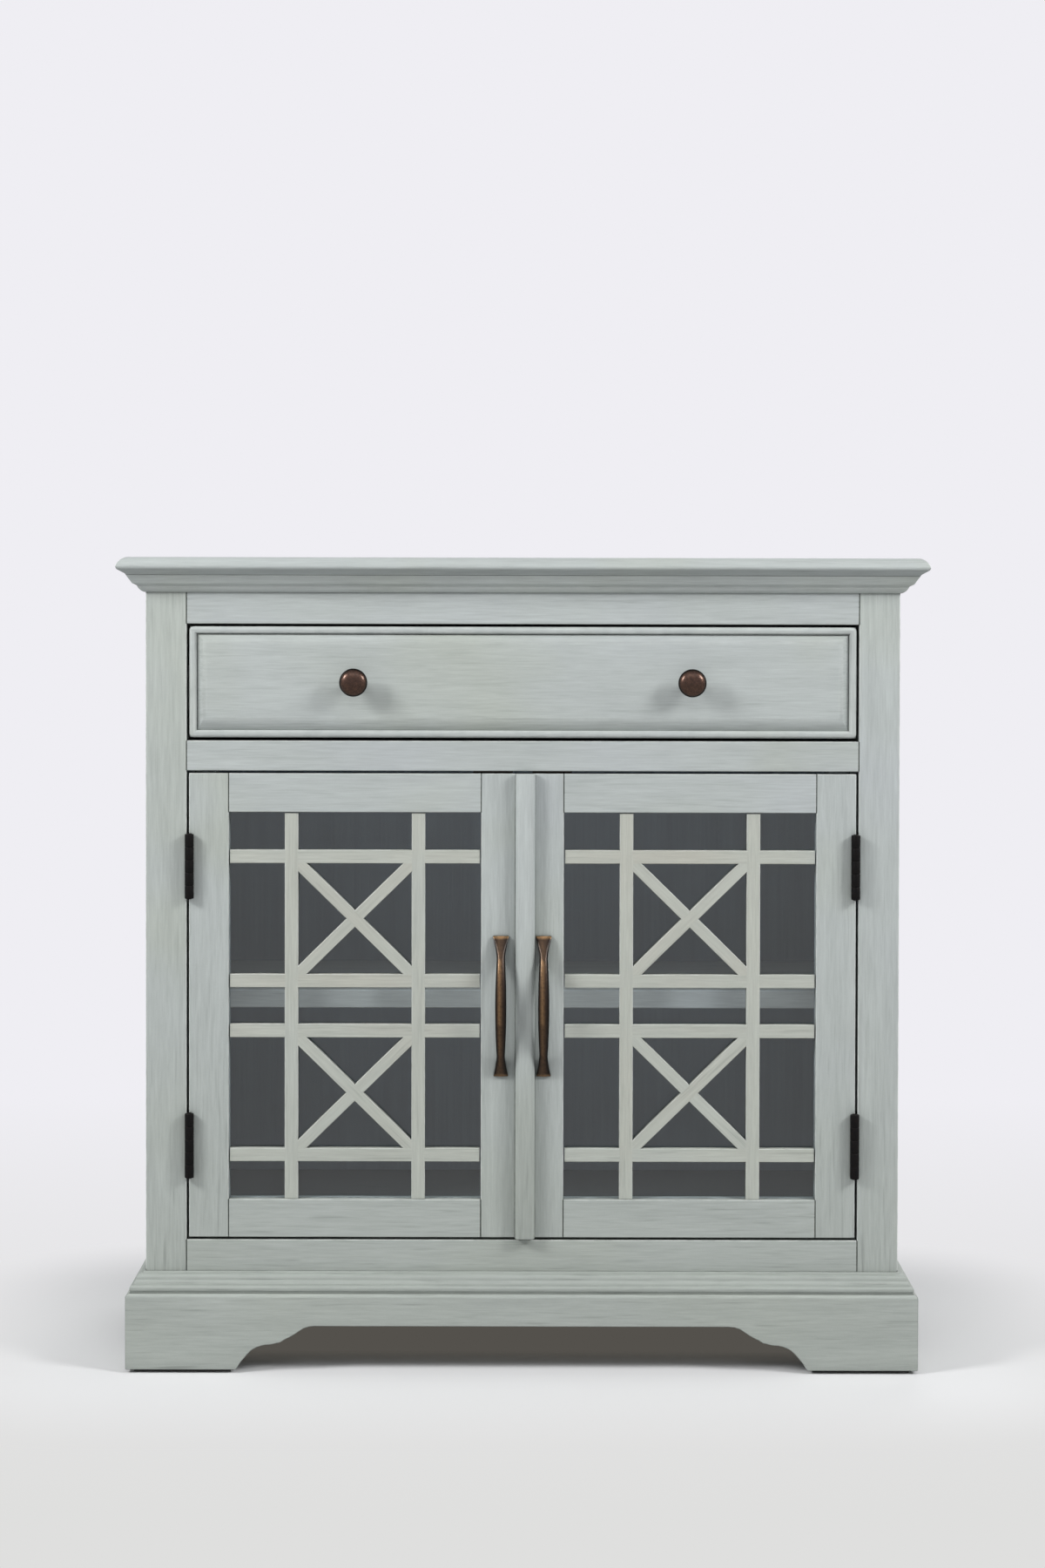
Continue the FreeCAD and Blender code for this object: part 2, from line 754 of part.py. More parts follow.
# Two diagonal bars of one field, trimmed by the field and lapped where they cross
def crossed_bars(x, z, depth, back_half, front_half):
    centre = Vector((x[0] + x[1]) / 2, 0, (z[0] + z[1]) / 2)
    run = math.hypot(x[1] - x[0], z[1] - z[0])
    angle = math.degrees(math.atan2(z[1] - z[0], x[1] - x[0]))
    field = block(x, depth, z)
    bars = []
    for turn in (angle, -angle):
        bar = block((-run, run), depth, (-lattice_diagonal_width / 2, lattice_diagonal_width / 2))
        bar.rotate(Vector(0, 0, 0), Vector(0, 1, 0), turn)
        bar.translate(centre)
        bars.append(bar.common(field))
    first = bars[0].cut(bars[1].common(back_half))
    second = bars[1].cut(bars[0].common(front_half))
    return solids_of(first) + solids_of(second)


def door_glass():
    reach = rebate_width - glass_clearance
    return block((meeting_stile_reach - reach, glazing_outer + reach), (glass_front, glass_back),
                 (glazing_bottom - reach, glazing_top + reach))


def glass_beads():
    thickness = door_back - glass_bead_setback - glass_back
    section = [(0, 0), (rebate_width, 0), (rebate_width, thickness), (0, thickness)]
    return mitred_frame((meeting_stile_reach - rebate_width, glazing_outer + rebate_width),
                        (glazing_bottom - rebate_width, glazing_top + rebate_width),
                        rebate_width, section, glass_back + thickness)


# Bow handle of the right door: what the side outline and the front outline share
def handle():
    half = handle_length / 2
    inner = half - handle_foot_length
    side_points = [
        (0, -half),
        (handle_end_thickness, -half),
        (handle_end_thickness, half, (handle_reach - handle_end_thickness) / half),
        (0, half),
        (0, inner),
        (0, -inner, (handle_bow_thickness - handle_reach) / inner),
    ]
    side_place = lambda p: Vector(handle_offset - handle_end_width, face_y - p[0], handle_level + p[1])
    side = outline(side_points, side_place).extrude(Vector(2 * handle_end_width, 0, 0))
    end_x = handle_end_width / 2
    neck_x = handle_neck_width / 2
    neck_z = half - handle_neck_distance
    belly_bend_share = (handle_belly_width / 2 - neck_x) / neck_z
    front_points = [
        (end_x, -half),
        (neck_x, -neck_z, -handle_flare_bend_share),
        (neck_x, neck_z, belly_bend_share),
        (end_x, half, -handle_flare_bend_share),
        (-end_x, half),
        (-neck_x, neck_z, -handle_flare_bend_share),
        (-neck_x, -neck_z, belly_bend_share),
        (-end_x, -half, -handle_flare_bend_share),
    ]
    front_place = lambda p: Vector(handle_offset + p[0], face_y, handle_level + p[1])
    front = outline(front_points, front_place).extrude(Vector(0, -handle_reach - overrun, 0))
    return side.common(front)


def handle_screws():
    screws = []
    for rise in (-1, 1):
        level = handle_level + rise * (handle_length - handle_foot_length) / 2
        head = Part.makeCylinder(handle_screw_head_radius, handle_screw_head_height,
                                 Vector(handle_offset, door_back, level), Vector(0, 1, 0))
        shank = Part.makeCylinder(handle_screw_radius, door_thickness + handle_screw_grip,
                                  Vector(handle_offset, door_back, level), Vector(0, -1, 0))
        screws.append(head.fuse(shank).removeSplitter())
    return screws


# Strike plate on the back of the right door, and its screw
def strike_plate():
    top = door_top - strike_end_distance
    plate = block((catch_offset - strike_width / 2, catch_offset + strike_width / 2),
                  (door_back, door_back + strike_thickness), (top - strike_height, top))
    fixing = screw(Vector(catch_offset, door_back + strike_thickness, top - strike_height / 2),
                   Vector(0, -1, 0), screw_length)
    return plate.cut(fixing), fixing


# Cover strip: flush with the right door's meeting edge, rounded towards the front
def cover_strip():
    left = meeting_gap / 2 - meeting_offset
    right = left + strip_width
    points = [
        (left, 0),
        (right, 0),
        (right, strip_side_height),
        (right - strip_round_width, strip_reach, strip_bend_share),
        (left + strip_round_width, strip_reach),
        (left, strip_side_height, strip_bend_share),
    ]
    section = outline(points, lambda p: Vector(p[0], face_y - p[1], door_bottom))
    return section.extrude(Vector(0, 0, door_top - door_bottom))


# Frustum between two upright rectangles, from the back one to the front one
def upright_frustum(back_half, front_half, middle_z, back_y_level, front_y_level):
    wires = []
    for half, y in ((back_half, back_y_level), (front_half, front_y_level)):
        corners = [Vector(sx * half[0], y, middle_z + sz * half[1]) for sx, sz in ((-1, -1), (1, -1), (1, 1), (-1, 1))]
        wires.append(Part.makePolygon(corners + corners[:1]))
    return Part.makeLoft(wires, True, True)


# Drawer front: board behind the beads, field raised in front between bevels
def drawer_front():
    middle = (drawer_bottom_level + drawer_top_level) / 2
    high_half = (drawer_top_level - drawer_bottom_level) / 2
    rebate_y = face_y + drawer_bead_thickness
    quirk_y = face_y + quirk_depth
    field_y = face_y + field_setback
    panel_half = (drawer_half - drawer_bead_width, high_half - drawer_bead_width)
    field_half = (panel_half[0] - bevel_width, panel_half[1] - bevel_width)
    board = block((-drawer_half, drawer_half), (rebate_y, drawer_front_back), (drawer_bottom_level, drawer_top_level))
    panel = block((-panel_half[0], panel_half[0]), (quirk_y, rebate_y),
                  (middle - panel_half[1], middle + panel_half[1]))
    field = upright_frustum(panel_half, field_half, middle, quirk_y, field_y)
    return board.fuse([panel, field]).removeSplitter()


def drawer_front_bead():
    side = drawer_bead_thickness - drawer_bead_bend_share * drawer_bead_width / 2
    section = [(0, 0), (drawer_bead_width, 0), (drawer_bead_width, side), (0, side, drawer_bead_bend_share)]
    return mitred_frame((-drawer_half, drawer_half), (drawer_bottom_level, drawer_top_level),
                        drawer_bead_width, section, face_y + drawer_bead_thickness)


# Drawer box behind the front
def drawer_side():
    return block((box_inner_half, box_half), (drawer_front_back, box_back), (box_bottom, box_top))


def drawer_back():
    return block((-box_inner_half, box_inner_half), (box_back - drawer_side_thickness, box_back), (box_bottom, box_top))


def drawer_bottom():
    half = box_inner_half + drawer_groove
    return block((-half, half), (drawer_front_back - drawer_groove, box_back - drawer_side_thickness + drawer_groove),
                 (box_floor_bottom, box_floor_bottom + drawer_bottom_thickness))


# Knob turned about an axis square to the drawer's field; its dome is a cap of a ball
def drawer_knob(x):
    base_y = face_y + field_setback
    level = (drawer_bottom_level + drawer_top_level) / 2
    rim = knob_rim_share * knob_reach
    dome_bend_share = math.tan(math.atan((knob_reach - rim) / knob_head_radius) / 2)
    points = [
        (0, 0),
        (knob_foot_radius, 0),
        (knob_foot_radius, knob_foot_share * knob_reach),
        (knob_neck_radius, knob_foot_share * knob_reach),
        (knob_neck_radius, knob_neck_share * knob_reach),
        (knob_head_radius, rim, knob_underside_bend_share),
        (0, knob_reach, dome_bend_share),
    ]
    section = outline(points, lambda p: Vector(x + p[0], base_y - p[1], level))
    return section.revolve(Vector(x, base_y, level), Vector(0, 1, 0), 360)


def knob_screw(x):
    level = (drawer_bottom_level + drawer_top_level) / 2
    head = Part.makeCylinder(handle_screw_head_radius, handle_screw_head_height,
                             Vector(x, drawer_front_back, level), Vector(0, 1, 0))
    shank = Part.makeCylinder(handle_screw_radius, drawer_front_thickness + handle_screw_grip,
                              Vector(x, drawer_front_back, level), Vector(0, -1, 0))
    return head.fuse(shank).removeSplitter()


# Case: joints are cut in the posts, rails and panels by the pieces that enter them
def build_case():
    front_rails = {
        "front_top_rail": front_rail(front_rail_thickness, (drawer_opening_top, case_top)),
        "front_middle_rail": front_rail(middle_rail_depth, (door_opening_top, drawer_opening_bottom)),
        "front_bottom_rail": front_rail(front_rail_thickness, (rail_bottom, door_opening_bottom)),
    }
    rails = side_rails()
    panels = both_sides([side_panel()])
    back = back_panel()
    post_plans = {
        "front_left_post": ((-case_half, -inner_half), (face_y, front_post_back)),
        "front_right_post": ((inner_half, case_half), (face_y, front_post_back)),
        "back_left_post": ((-case_half, -inner_half), (back_post_front, back_y)),
        "back_right_post": ((inner_half, case_half), (back_post_front, back_y)),
    }
    posts = {name: block(x, y, (pad_height, case_top)) for name, (x, y) in post_plans.items()}
    floor = case_board(face_y + front_rail_thickness, floor_thickness, floor_bottom, list(posts.values()))
    dust_bottom = door_opening_top + dust_panel_rise_share * middle_rail_height
    dust_panel = case_board(face_y + middle_rail_depth - panel_tongue, dust_panel_thickness, dust_bottom,
                            list(posts.values()))
    pins = shelf_pins()
    outer, middle, inner = slide_channels()
    outer_screws, inner_screws = slide_screws()
    post_screws = []
    for level in hinge_levels:
        post_screws += hinge_screws(level)[0]
    screws = case_screws() + outer_screws + catch_screws() + both_sides(post_screws)
    frame_leaves = both_sides([hinge_leaf(level, 1, range(0, hinge_knuckles, 2)) for level in hinge_levels])
    cleats = runner_cleats()
    top = top_board()
    back_frame = back_rails()
    front_plinth, left_plinth, right_plinth = plinth_boards()

    entering = list(front_rails.values()) + rails + panels + [back] + screws
    for name, post in posts.items():
        save(name, solids_of(post.cut(entering)))
    save("front_top_rail", solids_of(front_rails["front_top_rail"].cut(screws)))
    save("front_middle_rail", solids_of(front_rails["front_middle_rail"].cut([dust_panel] + screws)))
    save("front_bottom_rail", solids_of(front_rails["front_bottom_rail"]))
    save("side_rails", [solids_of(rail.cut(panels + [floor] + screws))[0] for rail in rails])
    for name, panel in zip(("right_side_panel", "left_side_panel"), panels):
        save(name, solids_of(panel.cut([floor, dust_panel] + pins + screws)))
    save("back_panel", solids_of(back.cut(screws)))
    save("back_rails", [solids_of(rail.cut(screws))[0] for rail in back_frame])
    save("cabinet_floor", solids_of(floor))
    save("dust_panel", solids_of(dust_panel))
    save("shelf", solids_of(shelf()))
    save("shelf_pins", pins)
    save("top_board", solids_of(top.cut(screws)))
    save("crown_moulding", crown_moulding())
    save("front_plinth", solids_of(front_plinth))
    save("left_plinth", solids_of(left_plinth))
    save("right_plinth", solids_of(right_plinth))
    save("base_moulding", base_moulding())
    save("corner_blocks", corner_blocks())
    save("foot_pads", foot_pads())
    save("runner_cleats", [solids_of(cleat.cut(outer_screws))[0] for cleat in cleats])
    save("slide_outer_members", [solids_of(member.cut(outer_screws))[0] for member in both_sides([outer])])
    save("slide_middle_members", both_sides([middle]))
    save("slide_inner_members", [solids_of(member.cut(inner_screws))[0] for member in both_sides([inner])])
    save("door_catches", [solids_of(body.cut(catch_screws()))[0] for body in door_catches()])
    save("hinge_frame_leaves", [solids_of(leaf.cut(screws))[0] for leaf in frame_leaves])
    save("hinge_pins", both_sides([hinge_pin(level) for level in hinge_levels]))
    save("case_screws", screws)


def build_drawer():
    inner_screws = slide_screws()[1]
    knob_places = (-knob_spacing / 2, knob_spacing / 2)
    knob_screws = [knob_screw(x) for x in knob_places]
    bottom = drawer_bottom()
    sides = both_sides([drawer_side()])
    save("drawer_front", solids_of(drawer_front().cut([bottom] + knob_screws)))
    save("drawer_front_bead", drawer_front_bead())
    save("drawer_sides", [solids_of(side.cut([bottom] + inner_screws))[0] for side in sides])
    save("drawer_back", solids_of(drawer_back().cut(bottom)))
    save("drawer_bottom", solids_of(bottom))
    save("drawer_knobs", [solids_of(drawer_knob(x).cut(knob_screws))[0] for x in knob_places])
    save("drawer_screws", inner_screws + knob_screws)


# Doors: both are drawn on the right, and the left one is mirrored across the chest's middle
def build_door(name, meeting_edge, turned):
    rails = door_rails()
    plate, plate_screw = strike_plate()
    door_screws = []
    for level in hinge_levels:
        door_screws += hinge_screws(level)[1]
    long_screws = handle_screws()
    fixings = [plate, plate_screw] + door_screws + long_screws
    hinge_stile, meeting_stile = door_stiles(meeting_edge, rails)
    leaves = [hinge_leaf(level, -1, range(1, hinge_knuckles, 2)) for level in hinge_levels]
    pieces = {
        "hinge_stile": solids_of(hinge_stile.cut(door_screws)),
        "meeting_stile": solids_of(meeting_stile.cut(long_screws + [plate_screw])),
        "top_rail": solids_of(rails[0]),
        "bottom_rail": solids_of(rails[1]),
        "lattice": [solids_of(bar)[0] for bar in lattice()],
        "glass": [door_glass()],
        "glass_beads": glass_beads(),
        "handle": solids_of(handle().cut(long_screws)),
        "hinge_leaves": [solids_of(leaf.cut(door_screws))[0] for leaf in leaves],
        "fixings": fixings,
    }
    for piece, solids in pieces.items():
        save(name + "_" + piece, [mirrored(solid) if turned else solid for solid in solids])


build_case()
build_drawer()
build_door("right_door", meeting_gap / 2 - meeting_offset, False)
build_door("left_door", meeting_gap / 2 + meeting_offset, True)
save("right_door_cover_strip", [cover_strip()])
print("chest", case_width + 2 * top_side_overhang, "x", chest_depth, "x", chest_top)
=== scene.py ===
import json
import math

import bmesh
import bpy
from mathutils import Matrix, Vector
from mathutils.bvhtree import BVHTree

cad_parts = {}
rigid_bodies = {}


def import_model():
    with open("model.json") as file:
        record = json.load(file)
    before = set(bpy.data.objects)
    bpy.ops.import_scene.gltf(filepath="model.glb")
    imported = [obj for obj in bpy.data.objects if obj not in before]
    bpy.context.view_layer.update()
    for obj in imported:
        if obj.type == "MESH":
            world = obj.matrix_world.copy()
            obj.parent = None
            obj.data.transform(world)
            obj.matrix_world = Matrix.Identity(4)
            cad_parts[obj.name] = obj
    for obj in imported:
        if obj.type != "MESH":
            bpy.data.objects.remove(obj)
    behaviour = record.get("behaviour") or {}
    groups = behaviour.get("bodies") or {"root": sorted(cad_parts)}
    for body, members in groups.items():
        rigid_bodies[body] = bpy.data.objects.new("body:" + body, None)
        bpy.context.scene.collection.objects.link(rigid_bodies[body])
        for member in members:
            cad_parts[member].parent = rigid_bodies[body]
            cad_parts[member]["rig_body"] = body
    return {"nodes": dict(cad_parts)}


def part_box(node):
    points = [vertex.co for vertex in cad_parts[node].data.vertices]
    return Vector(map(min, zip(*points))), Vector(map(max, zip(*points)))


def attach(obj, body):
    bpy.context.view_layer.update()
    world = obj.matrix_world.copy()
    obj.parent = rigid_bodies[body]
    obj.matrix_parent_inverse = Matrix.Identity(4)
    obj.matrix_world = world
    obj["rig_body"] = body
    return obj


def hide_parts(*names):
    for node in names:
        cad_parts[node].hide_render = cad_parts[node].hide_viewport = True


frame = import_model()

scene = bpy.context.scene
nodes = frame["nodes"]
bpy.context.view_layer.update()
mm = 0.001
scene.view_settings.view_transform = "Standard"
print("frame loaded:", len(nodes), "parts of the chest")


# Camera: as far off and as high as the photograph was taken from
cameraLook = {
    "place": (0.0, -3.0508, 0.784),
    "pitchDown": 1.05,
    "roll": 0.115,
    "focalLength": 66.24,
    "shift": (-0.00028, -0.0883),
}


def addObject(name, data):
    made = bpy.data.objects.new(name, data)
    scene.collection.objects.link(made)
    return made


def placeCamera(look):
    lens = bpy.data.cameras.new("frontView")
    lens.lens = look["focalLength"]
    lens.sensor_width = 36
    lens.shift_x, lens.shift_y = look["shift"]
    camera = addObject("frontView", lens)
    tilt = Matrix.Rotation(math.radians(90 - look["pitchDown"]), 4, "X")
    roll = Matrix.Rotation(math.radians(look["roll"]), 4, "Z")
    camera.matrix_world = Matrix.Translation(look["place"]) @ tilt @ roll
    scene.camera = camera


placeCamera(cameraLook)
print("camera placed")


# Colours are written as a picker shows them, 0 to 255
def colourOf(red, green, blue):
    shares = [value / 255 for value in (red, green, blue)]
    return tuple(s / 12.92 if s <= 0.04045 else ((s + 0.055) / 1.055) ** 2.4 for s in shares) + (1,)


def coloursOf(look, *parts):
    return {part.capitalize(): colourOf(*look[part]) for part in parts}


# Node helper: a value that is a socket gets linked, anything else is set
def put(tree, kind, values=None, **settings):
    node = tree.nodes.new("ShaderNode" + kind)
    for name, setting in settings.items():
        setattr(node, name, setting)
    for name, value in (values or {}).items():
        if isinstance(value, bpy.types.NodeSocket):
            tree.links.new(value, node.inputs[name])
        else:
            node.inputs[name].default_value = value
    return node


def mixColour(tree, factor, first, second):
    return put(tree, "Mix", {0: factor, 6: first, 7: second}, data_type="RGBA").outputs[2]


def maths(tree, operation, *values, clamp=False):
    return put(tree, "Math", dict(enumerate(values)), operation=operation, use_clamp=clamp).outputs[0]


def vectors(tree, operation, *values):
    return put(tree, "VectorMath", dict(enumerate(values)), operation=operation).outputs


def remap(tree, value, fromLow, fromHigh, toLow=0.0, toHigh=1.0, **settings):
    return put(tree, "MapRange", {0: value, 1: fromLow, 2: fromHigh, 3: toLow, 4: toHigh}, **settings).outputs[0]


def cloudy(tree, vector, scale=1.0, detail=2.0, roughness=0.5):
    values = {"Vector": vector, "Scale": scale, "Detail": detail, "Roughness": roughness}
    return put(tree, "TexNoise", values).outputs[0]


def streaky(tree, vector, stretch, detail, roughness=0.5):
    stretched = put(tree, "Mapping", {"Vector": vector, "Scale": stretch}).outputs[0]
    return cloudy(tree, stretched, 1.0, detail, roughness)


# Every group takes a vector, values and colours, and gives a colour, a roughness and a height
def startGroup(name, values, colours):
    tree = bpy.data.node_groups.new(name, "ShaderNodeTree")
    takes = {"Vector": "Vector"} | dict.fromkeys(values, "Float") | dict.fromkeys(colours, "Color")
    gives = {"Color": "Color", "Roughness": "Float", "Height": "Float"}
    for direction, sockets in (("INPUT", takes), ("OUTPUT", gives)):
        for socketName, kind in sockets.items():
            tree.interface.new_socket(name=socketName, in_out=direction, socket_type="NodeSocket" + kind)
    return tree, tree.nodes.new("NodeGroupInput").outputs, tree.nodes.new("NodeGroupOutput").inputs


def endGroup(tree, result, colour, roughness, height):
    for name, value in (("Color", colour), ("Roughness", roughness), ("Height", height)):
        tree.links.new(value, result[name])
    return tree


# Each board reads its own stretch of the pattern
seedSteps = (0.731, 0.417, 0.283)


def shiftedBySeed(tree, vector, seed):
    steps = {axis: maths(tree, "MULTIPLY", seed, step) for axis, step in enumerate(seedSteps)}
    offset = put(tree, "CombineXYZ", steps).outputs[0]
    return vectors(tree, "ADD", vector, offset)[0]


# Paint brushed along the grain, with a darker glaze left in corners and pulled off the arrises. Painted shade
# darkens it in corners, gaps and recesses, on what faces down and towards the bottom; the lighter worn colour on
# the arrises is partly a painted highlight.
# Patterns are (stretch, detail); four numbers are a range of the pattern and the range that it becomes
brushLook = {
    "strokes": ((26, 480, 480), 3), "hairs": ((55, 1500, 1500), 2), "bands": ((6, 70, 70), 2),
    "drags": ((14, 330, 330), 2), "grainScale": 900.0, "cloudScale": 5.0, "patchScale": 70.0,
    "toneShares": (0.30, 0.22, 0.20, 0.08), "coolRange": (0.54, 0.70, 0, 0.5), "oliveRange": (0.46, 0.30, 0, 0.5),
    "lowerShadeShare": 0.85, "dragRange": (0.60, 0.74), "dragShare": 0.12, "pooledDrag": 0.14,
    "glazeTarnishShadeRange": (0.3, 0.65, 1.0, 0.75), "cornerShadeShare": 0.3, "patchRange": (0.38, 0.58, 0.25, 0.9),
    "roughness": (0.3, 0.7, 0.50, 0.62), "hairRelief": 0.4,
}


def buildBrushedGlaze(look):
    tree, given, result = startGroup("brushedGlaze", ("Seed", "Corner", "Arris", "Streaks", "Pooled", "Tucked"),
                                     ("Paint", "Cool", "Olive", "Low", "Glaze", "Worn"))
    vector = shiftedBySeed(tree, given["Vector"], given["Seed"])
    strokes, hairs, bands, drags = (
        streaky(tree, vector, *look[name]) for name in ("strokes", "hairs", "bands", "drags"))
    grains = cloudy(tree, vector, look["grainScale"], 1)
    clouds = cloudy(tree, vector, look["cloudScale"])
    tone = 0.0
    for pattern, share in zip((strokes, hairs, bands, grains), look["toneShares"]):
        tone = maths(tree, "MULTIPLY_ADD", maths(tree, "SUBTRACT", pattern, 0.5), share, tone)
    tone = maths(tree, "MULTIPLY_ADD", tone, given["Streaks"], 1.0)
    tinted = mixColour(tree, remap(tree, clouds, *look["coolRange"]), given["Paint"], given["Cool"])
    tinted = mixColour(tree, remap(tree, clouds, *look["oliveRange"]), tinted, given["Olive"])
    # Painted shade: towards the bottom the paint darkens to the low colour, with more dark drags
    tinted = mixColour(tree, maths(tree, "MULTIPLY", given["Pooled"], look["lowerShadeShare"]), tinted, given["Low"])
    toned = put(tree, "VectorMath", {0: tinted, "Scale": tone}, operation="SCALE").outputs[0]
    # Corner carries glaze and painted shade from the mesh; Tucked is painted shade from ambient occlusion
    corner = maths(tree, "MAXIMUM", given["Corner"], given["Tucked"])
    settled = maths(tree, "MULTIPLY", corner, remap(tree, strokes, *look["glazeTarnishShadeRange"]))
    dragShare = maths(tree, "MULTIPLY_ADD", given["Pooled"], look["pooledDrag"], look["dragShare"])
    dragged = maths(tree, "MULTIPLY", remap(tree, drags, *look["dragRange"]), dragShare)
    # dark drags and glaze, with painted shade where Corner and Tucked say
    glazedAndShaded = mixColour(tree, maths(tree, "ADD", dragged, settled, clamp=True), toned, given["Glaze"])
    covered = maths(tree, "MULTIPLY_ADD", given["Tucked"], look["cornerShadeShare"], given["Corner"])
    bare = maths(tree, "SUBTRACT", 1.0, covered, clamp=True)
    patchy = remap(tree, cloudy(tree, vector, look["patchScale"], 3), *look["patchRange"])
    rubbed = maths(tree, "MULTIPLY", maths(tree, "MULTIPLY", given["Arris"], patchy), bare)
    height = maths(tree, "MULTIPLY_ADD", hairs, look["hairRelief"], strokes)
    return endGroup(tree, result, mixColour(tree, rubbed, glazedAndShaded, given["Worn"]),
                    remap(tree, strokes, *look["roughness"]), height)


# Plain timber: long darker lines in a paler ground
grainLook = {
    "figure": ((2.5, 40, 40), 4, 0.6), "lines": ((7, 420, 420), 3), "pores": ((45, 1500, 1500), 1),
    "figureShare": 0.9, "lineShare": 0.5,
    "darkRange": (0.45, 1.0), "poreRange": (0.6, 0.75), "poreShare": 0.35, "poreDepth": 0.8,
    "roughness": (0.3, 0.7, 0.55, 0.7),
}


def buildWoodGrain(look):
    tree, given, result = startGroup("woodGrain", ("Seed",), ("Light", "Dark"))
    vector = shiftedBySeed(tree, given["Vector"], given["Seed"])
    figure, lines, pores = (streaky(tree, vector, *look[name]) for name in ("figure", "lines", "pores"))
    pores = remap(tree, pores, *look["poreRange"])
    share = maths(tree, "MULTIPLY_ADD", figure, look["figureShare"], maths(tree, "MULTIPLY", lines, look["lineShare"]))
    colour = mixColour(tree, remap(tree, share, *look["darkRange"]), given["Light"], given["Dark"])
    colour = mixColour(tree, maths(tree, "MULTIPLY", pores, look["poreShare"]), colour, given["Dark"])
    return endGroup(tree, result, colour, remap(tree, lines, *look["roughness"]),
                    maths(tree, "SUBTRACT", lines, maths(tree, "MULTIPLY", pores, look["poreDepth"])))


# Dark metal with mottled tarnish, blackened where the mesh asks (in its hollows, on the knobs' rims, and on the
# handles' sides as a painted dark reflection) and rubbed bright on its arrises and the handles' face, there partly a
# painted highlight
tarnishLook = {
    "blotchScale": 420.0, "speckScale": 1600.0, "mottleRange": (0.42, 0.62), "rubbedRange": (0.3, 0.55, 0.45, 1.0),
    "uneven": (0.3, 0.7, -0.06, 0.08), "rubbedGloss": 0.1, "speckRelief": 0.5,
}


def buildAgedMetal(look):
    tree, given, result = startGroup("agedMetal", ("Arris", "Tarnish", "Gloss"), ("Base", "Mottle", "Rubbed", "Black"))
    blotches = cloudy(tree, given["Vector"], look["blotchScale"], 4, 0.65)
    specks = cloudy(tree, given["Vector"], look["speckScale"])
    colour = mixColour(tree, remap(tree, blotches, *look["mottleRange"]), given["Base"], given["Mottle"])
    rubbed = maths(tree, "MULTIPLY", given["Arris"], remap(tree, blotches, *look["rubbedRange"]))
    colour = mixColour(tree, rubbed, colour, given["Rubbed"])
    colour = mixColour(tree, given["Tarnish"], colour, given["Black"])
    roughness = maths(tree, "ADD", given["Gloss"], remap(tree, specks, *look["uneven"]))
    roughness = maths(tree, "SUBTRACT", roughness, maths(tree, "MULTIPLY", rubbed, look["rubbedGloss"]))
    return endGroup(tree, result, colour, roughness, maths(tree, "MULTIPLY_ADD", specks, look["speckRelief"], blotches))


# Fine speckle for rubber and moulded plastic
def buildSpeckle():
    tree, given, result = startGroup("speckle", ("Size",), ("Base", "Fleck"))
    flecks = cloudy(tree, given["Vector"], given["Size"], 3, 0.6)
    return endGroup(tree, result, mixColour(tree, remap(tree, flecks, 0.4, 0.7), given["Base"], given["Fleck"]),
                    remap(tree, flecks, 0.3, 0.7, 0.5, 0.7), flecks)


brushedGlaze = buildBrushedGlaze(brushLook)
woodGrain = buildWoodGrain(grainLook)
agedMetal = buildAgedMetal(tarnishLook)
speckle = buildSpeckle()


def startFinish(name, settings):
    finish = bpy.data.materials.new(name)
    finish.use_nodes = True
    tree = finish.node_tree
    tree.nodes.clear()
    surface = put(tree, "BsdfPrincipled", settings)
    put(tree, "OutputMaterial", {"Surface": surface.outputs[0]})
    return finish, tree, surface


def mixShaders(tree, factor, first, second):
    return put(tree, "MixShader", {0: factor, 1: first.outputs[0], 2: second.outputs[0]})


def showInstead(tree, shader):
    tree.links.new(shader.outputs[0], tree.nodes["Material Output"].inputs["Surface"])


def objectVector(tree, turn=(0, 0, 0)):
    place = put(tree, "TexCoord").outputs["Object"]
    return put(tree, "Mapping", {"Vector": place, "Rotation": turn}).outputs[0]


def faceValue(tree, name):
    return put(tree, "Attribute", attribute_name=name, attribute_type="GEOMETRY").outputs["Fac"]


def wire(tree, surface, group, values, depth, strength):
    made = put(tree, "Group", values, node_tree=group).outputs
    tree.links.new(made["Color"], surface.inputs["Base Color"])
    tree.links.new(made["Roughness"], surface.inputs["Roughness"])
    relief = put(tree, "Bump", {"Height": made["Height"], "Distance": depth, "Strength": strength})
    tree.links.new(relief.outputs[0], surface.inputs["Normal"])


# Grain directions: along the width, upright, front to back
grainTurns = {"Along": (0, 0, 0), "Upright": (0, math.radians(90), 0), "Inwards": (0, 0, math.radians(-90))}


def grainFinishes(makeFinish, name, look, *directions):
    return [makeFinish(name + direction, grainTurns[direction], look) for direction in directions]


paintLook = {
    "paint": (180, 186, 184),
    "cool": (180, 185, 188),
    "olive": (174, 180, 168),
    # the dark glaze colour, also used for painted shade in corners, gaps, recesses and on down-facing arrises
    "glaze": (64, 70, 63),
    # worn: the colour of rubbed arrises, partly a painted highlight on the ones that face up
    "worn": (216, 220, 216),
    "streaks": 1.0,
    # low: the darker colour towards the bottom, painted shade; pooling: the heights over which it comes in
    "low": (170, 176, 169),
    "pooling": (0.48, 0.02),
    # corner and grime: painted shade where ambient occlusion finds corners, gaps and nearby parts (reach, range, share)
    "cornerReach": 3.0 * mm,
    "cornerRange": (0.72, 0.36),
    "cornerShare": 1.0,
    "grimeReach": 14.0 * mm,
    "grimeRange": (0.95, 0.62),
    "grimeShare": 0.19,
    "relief": (0.2 * mm, 0.3),
    "specular": 0.4,
}


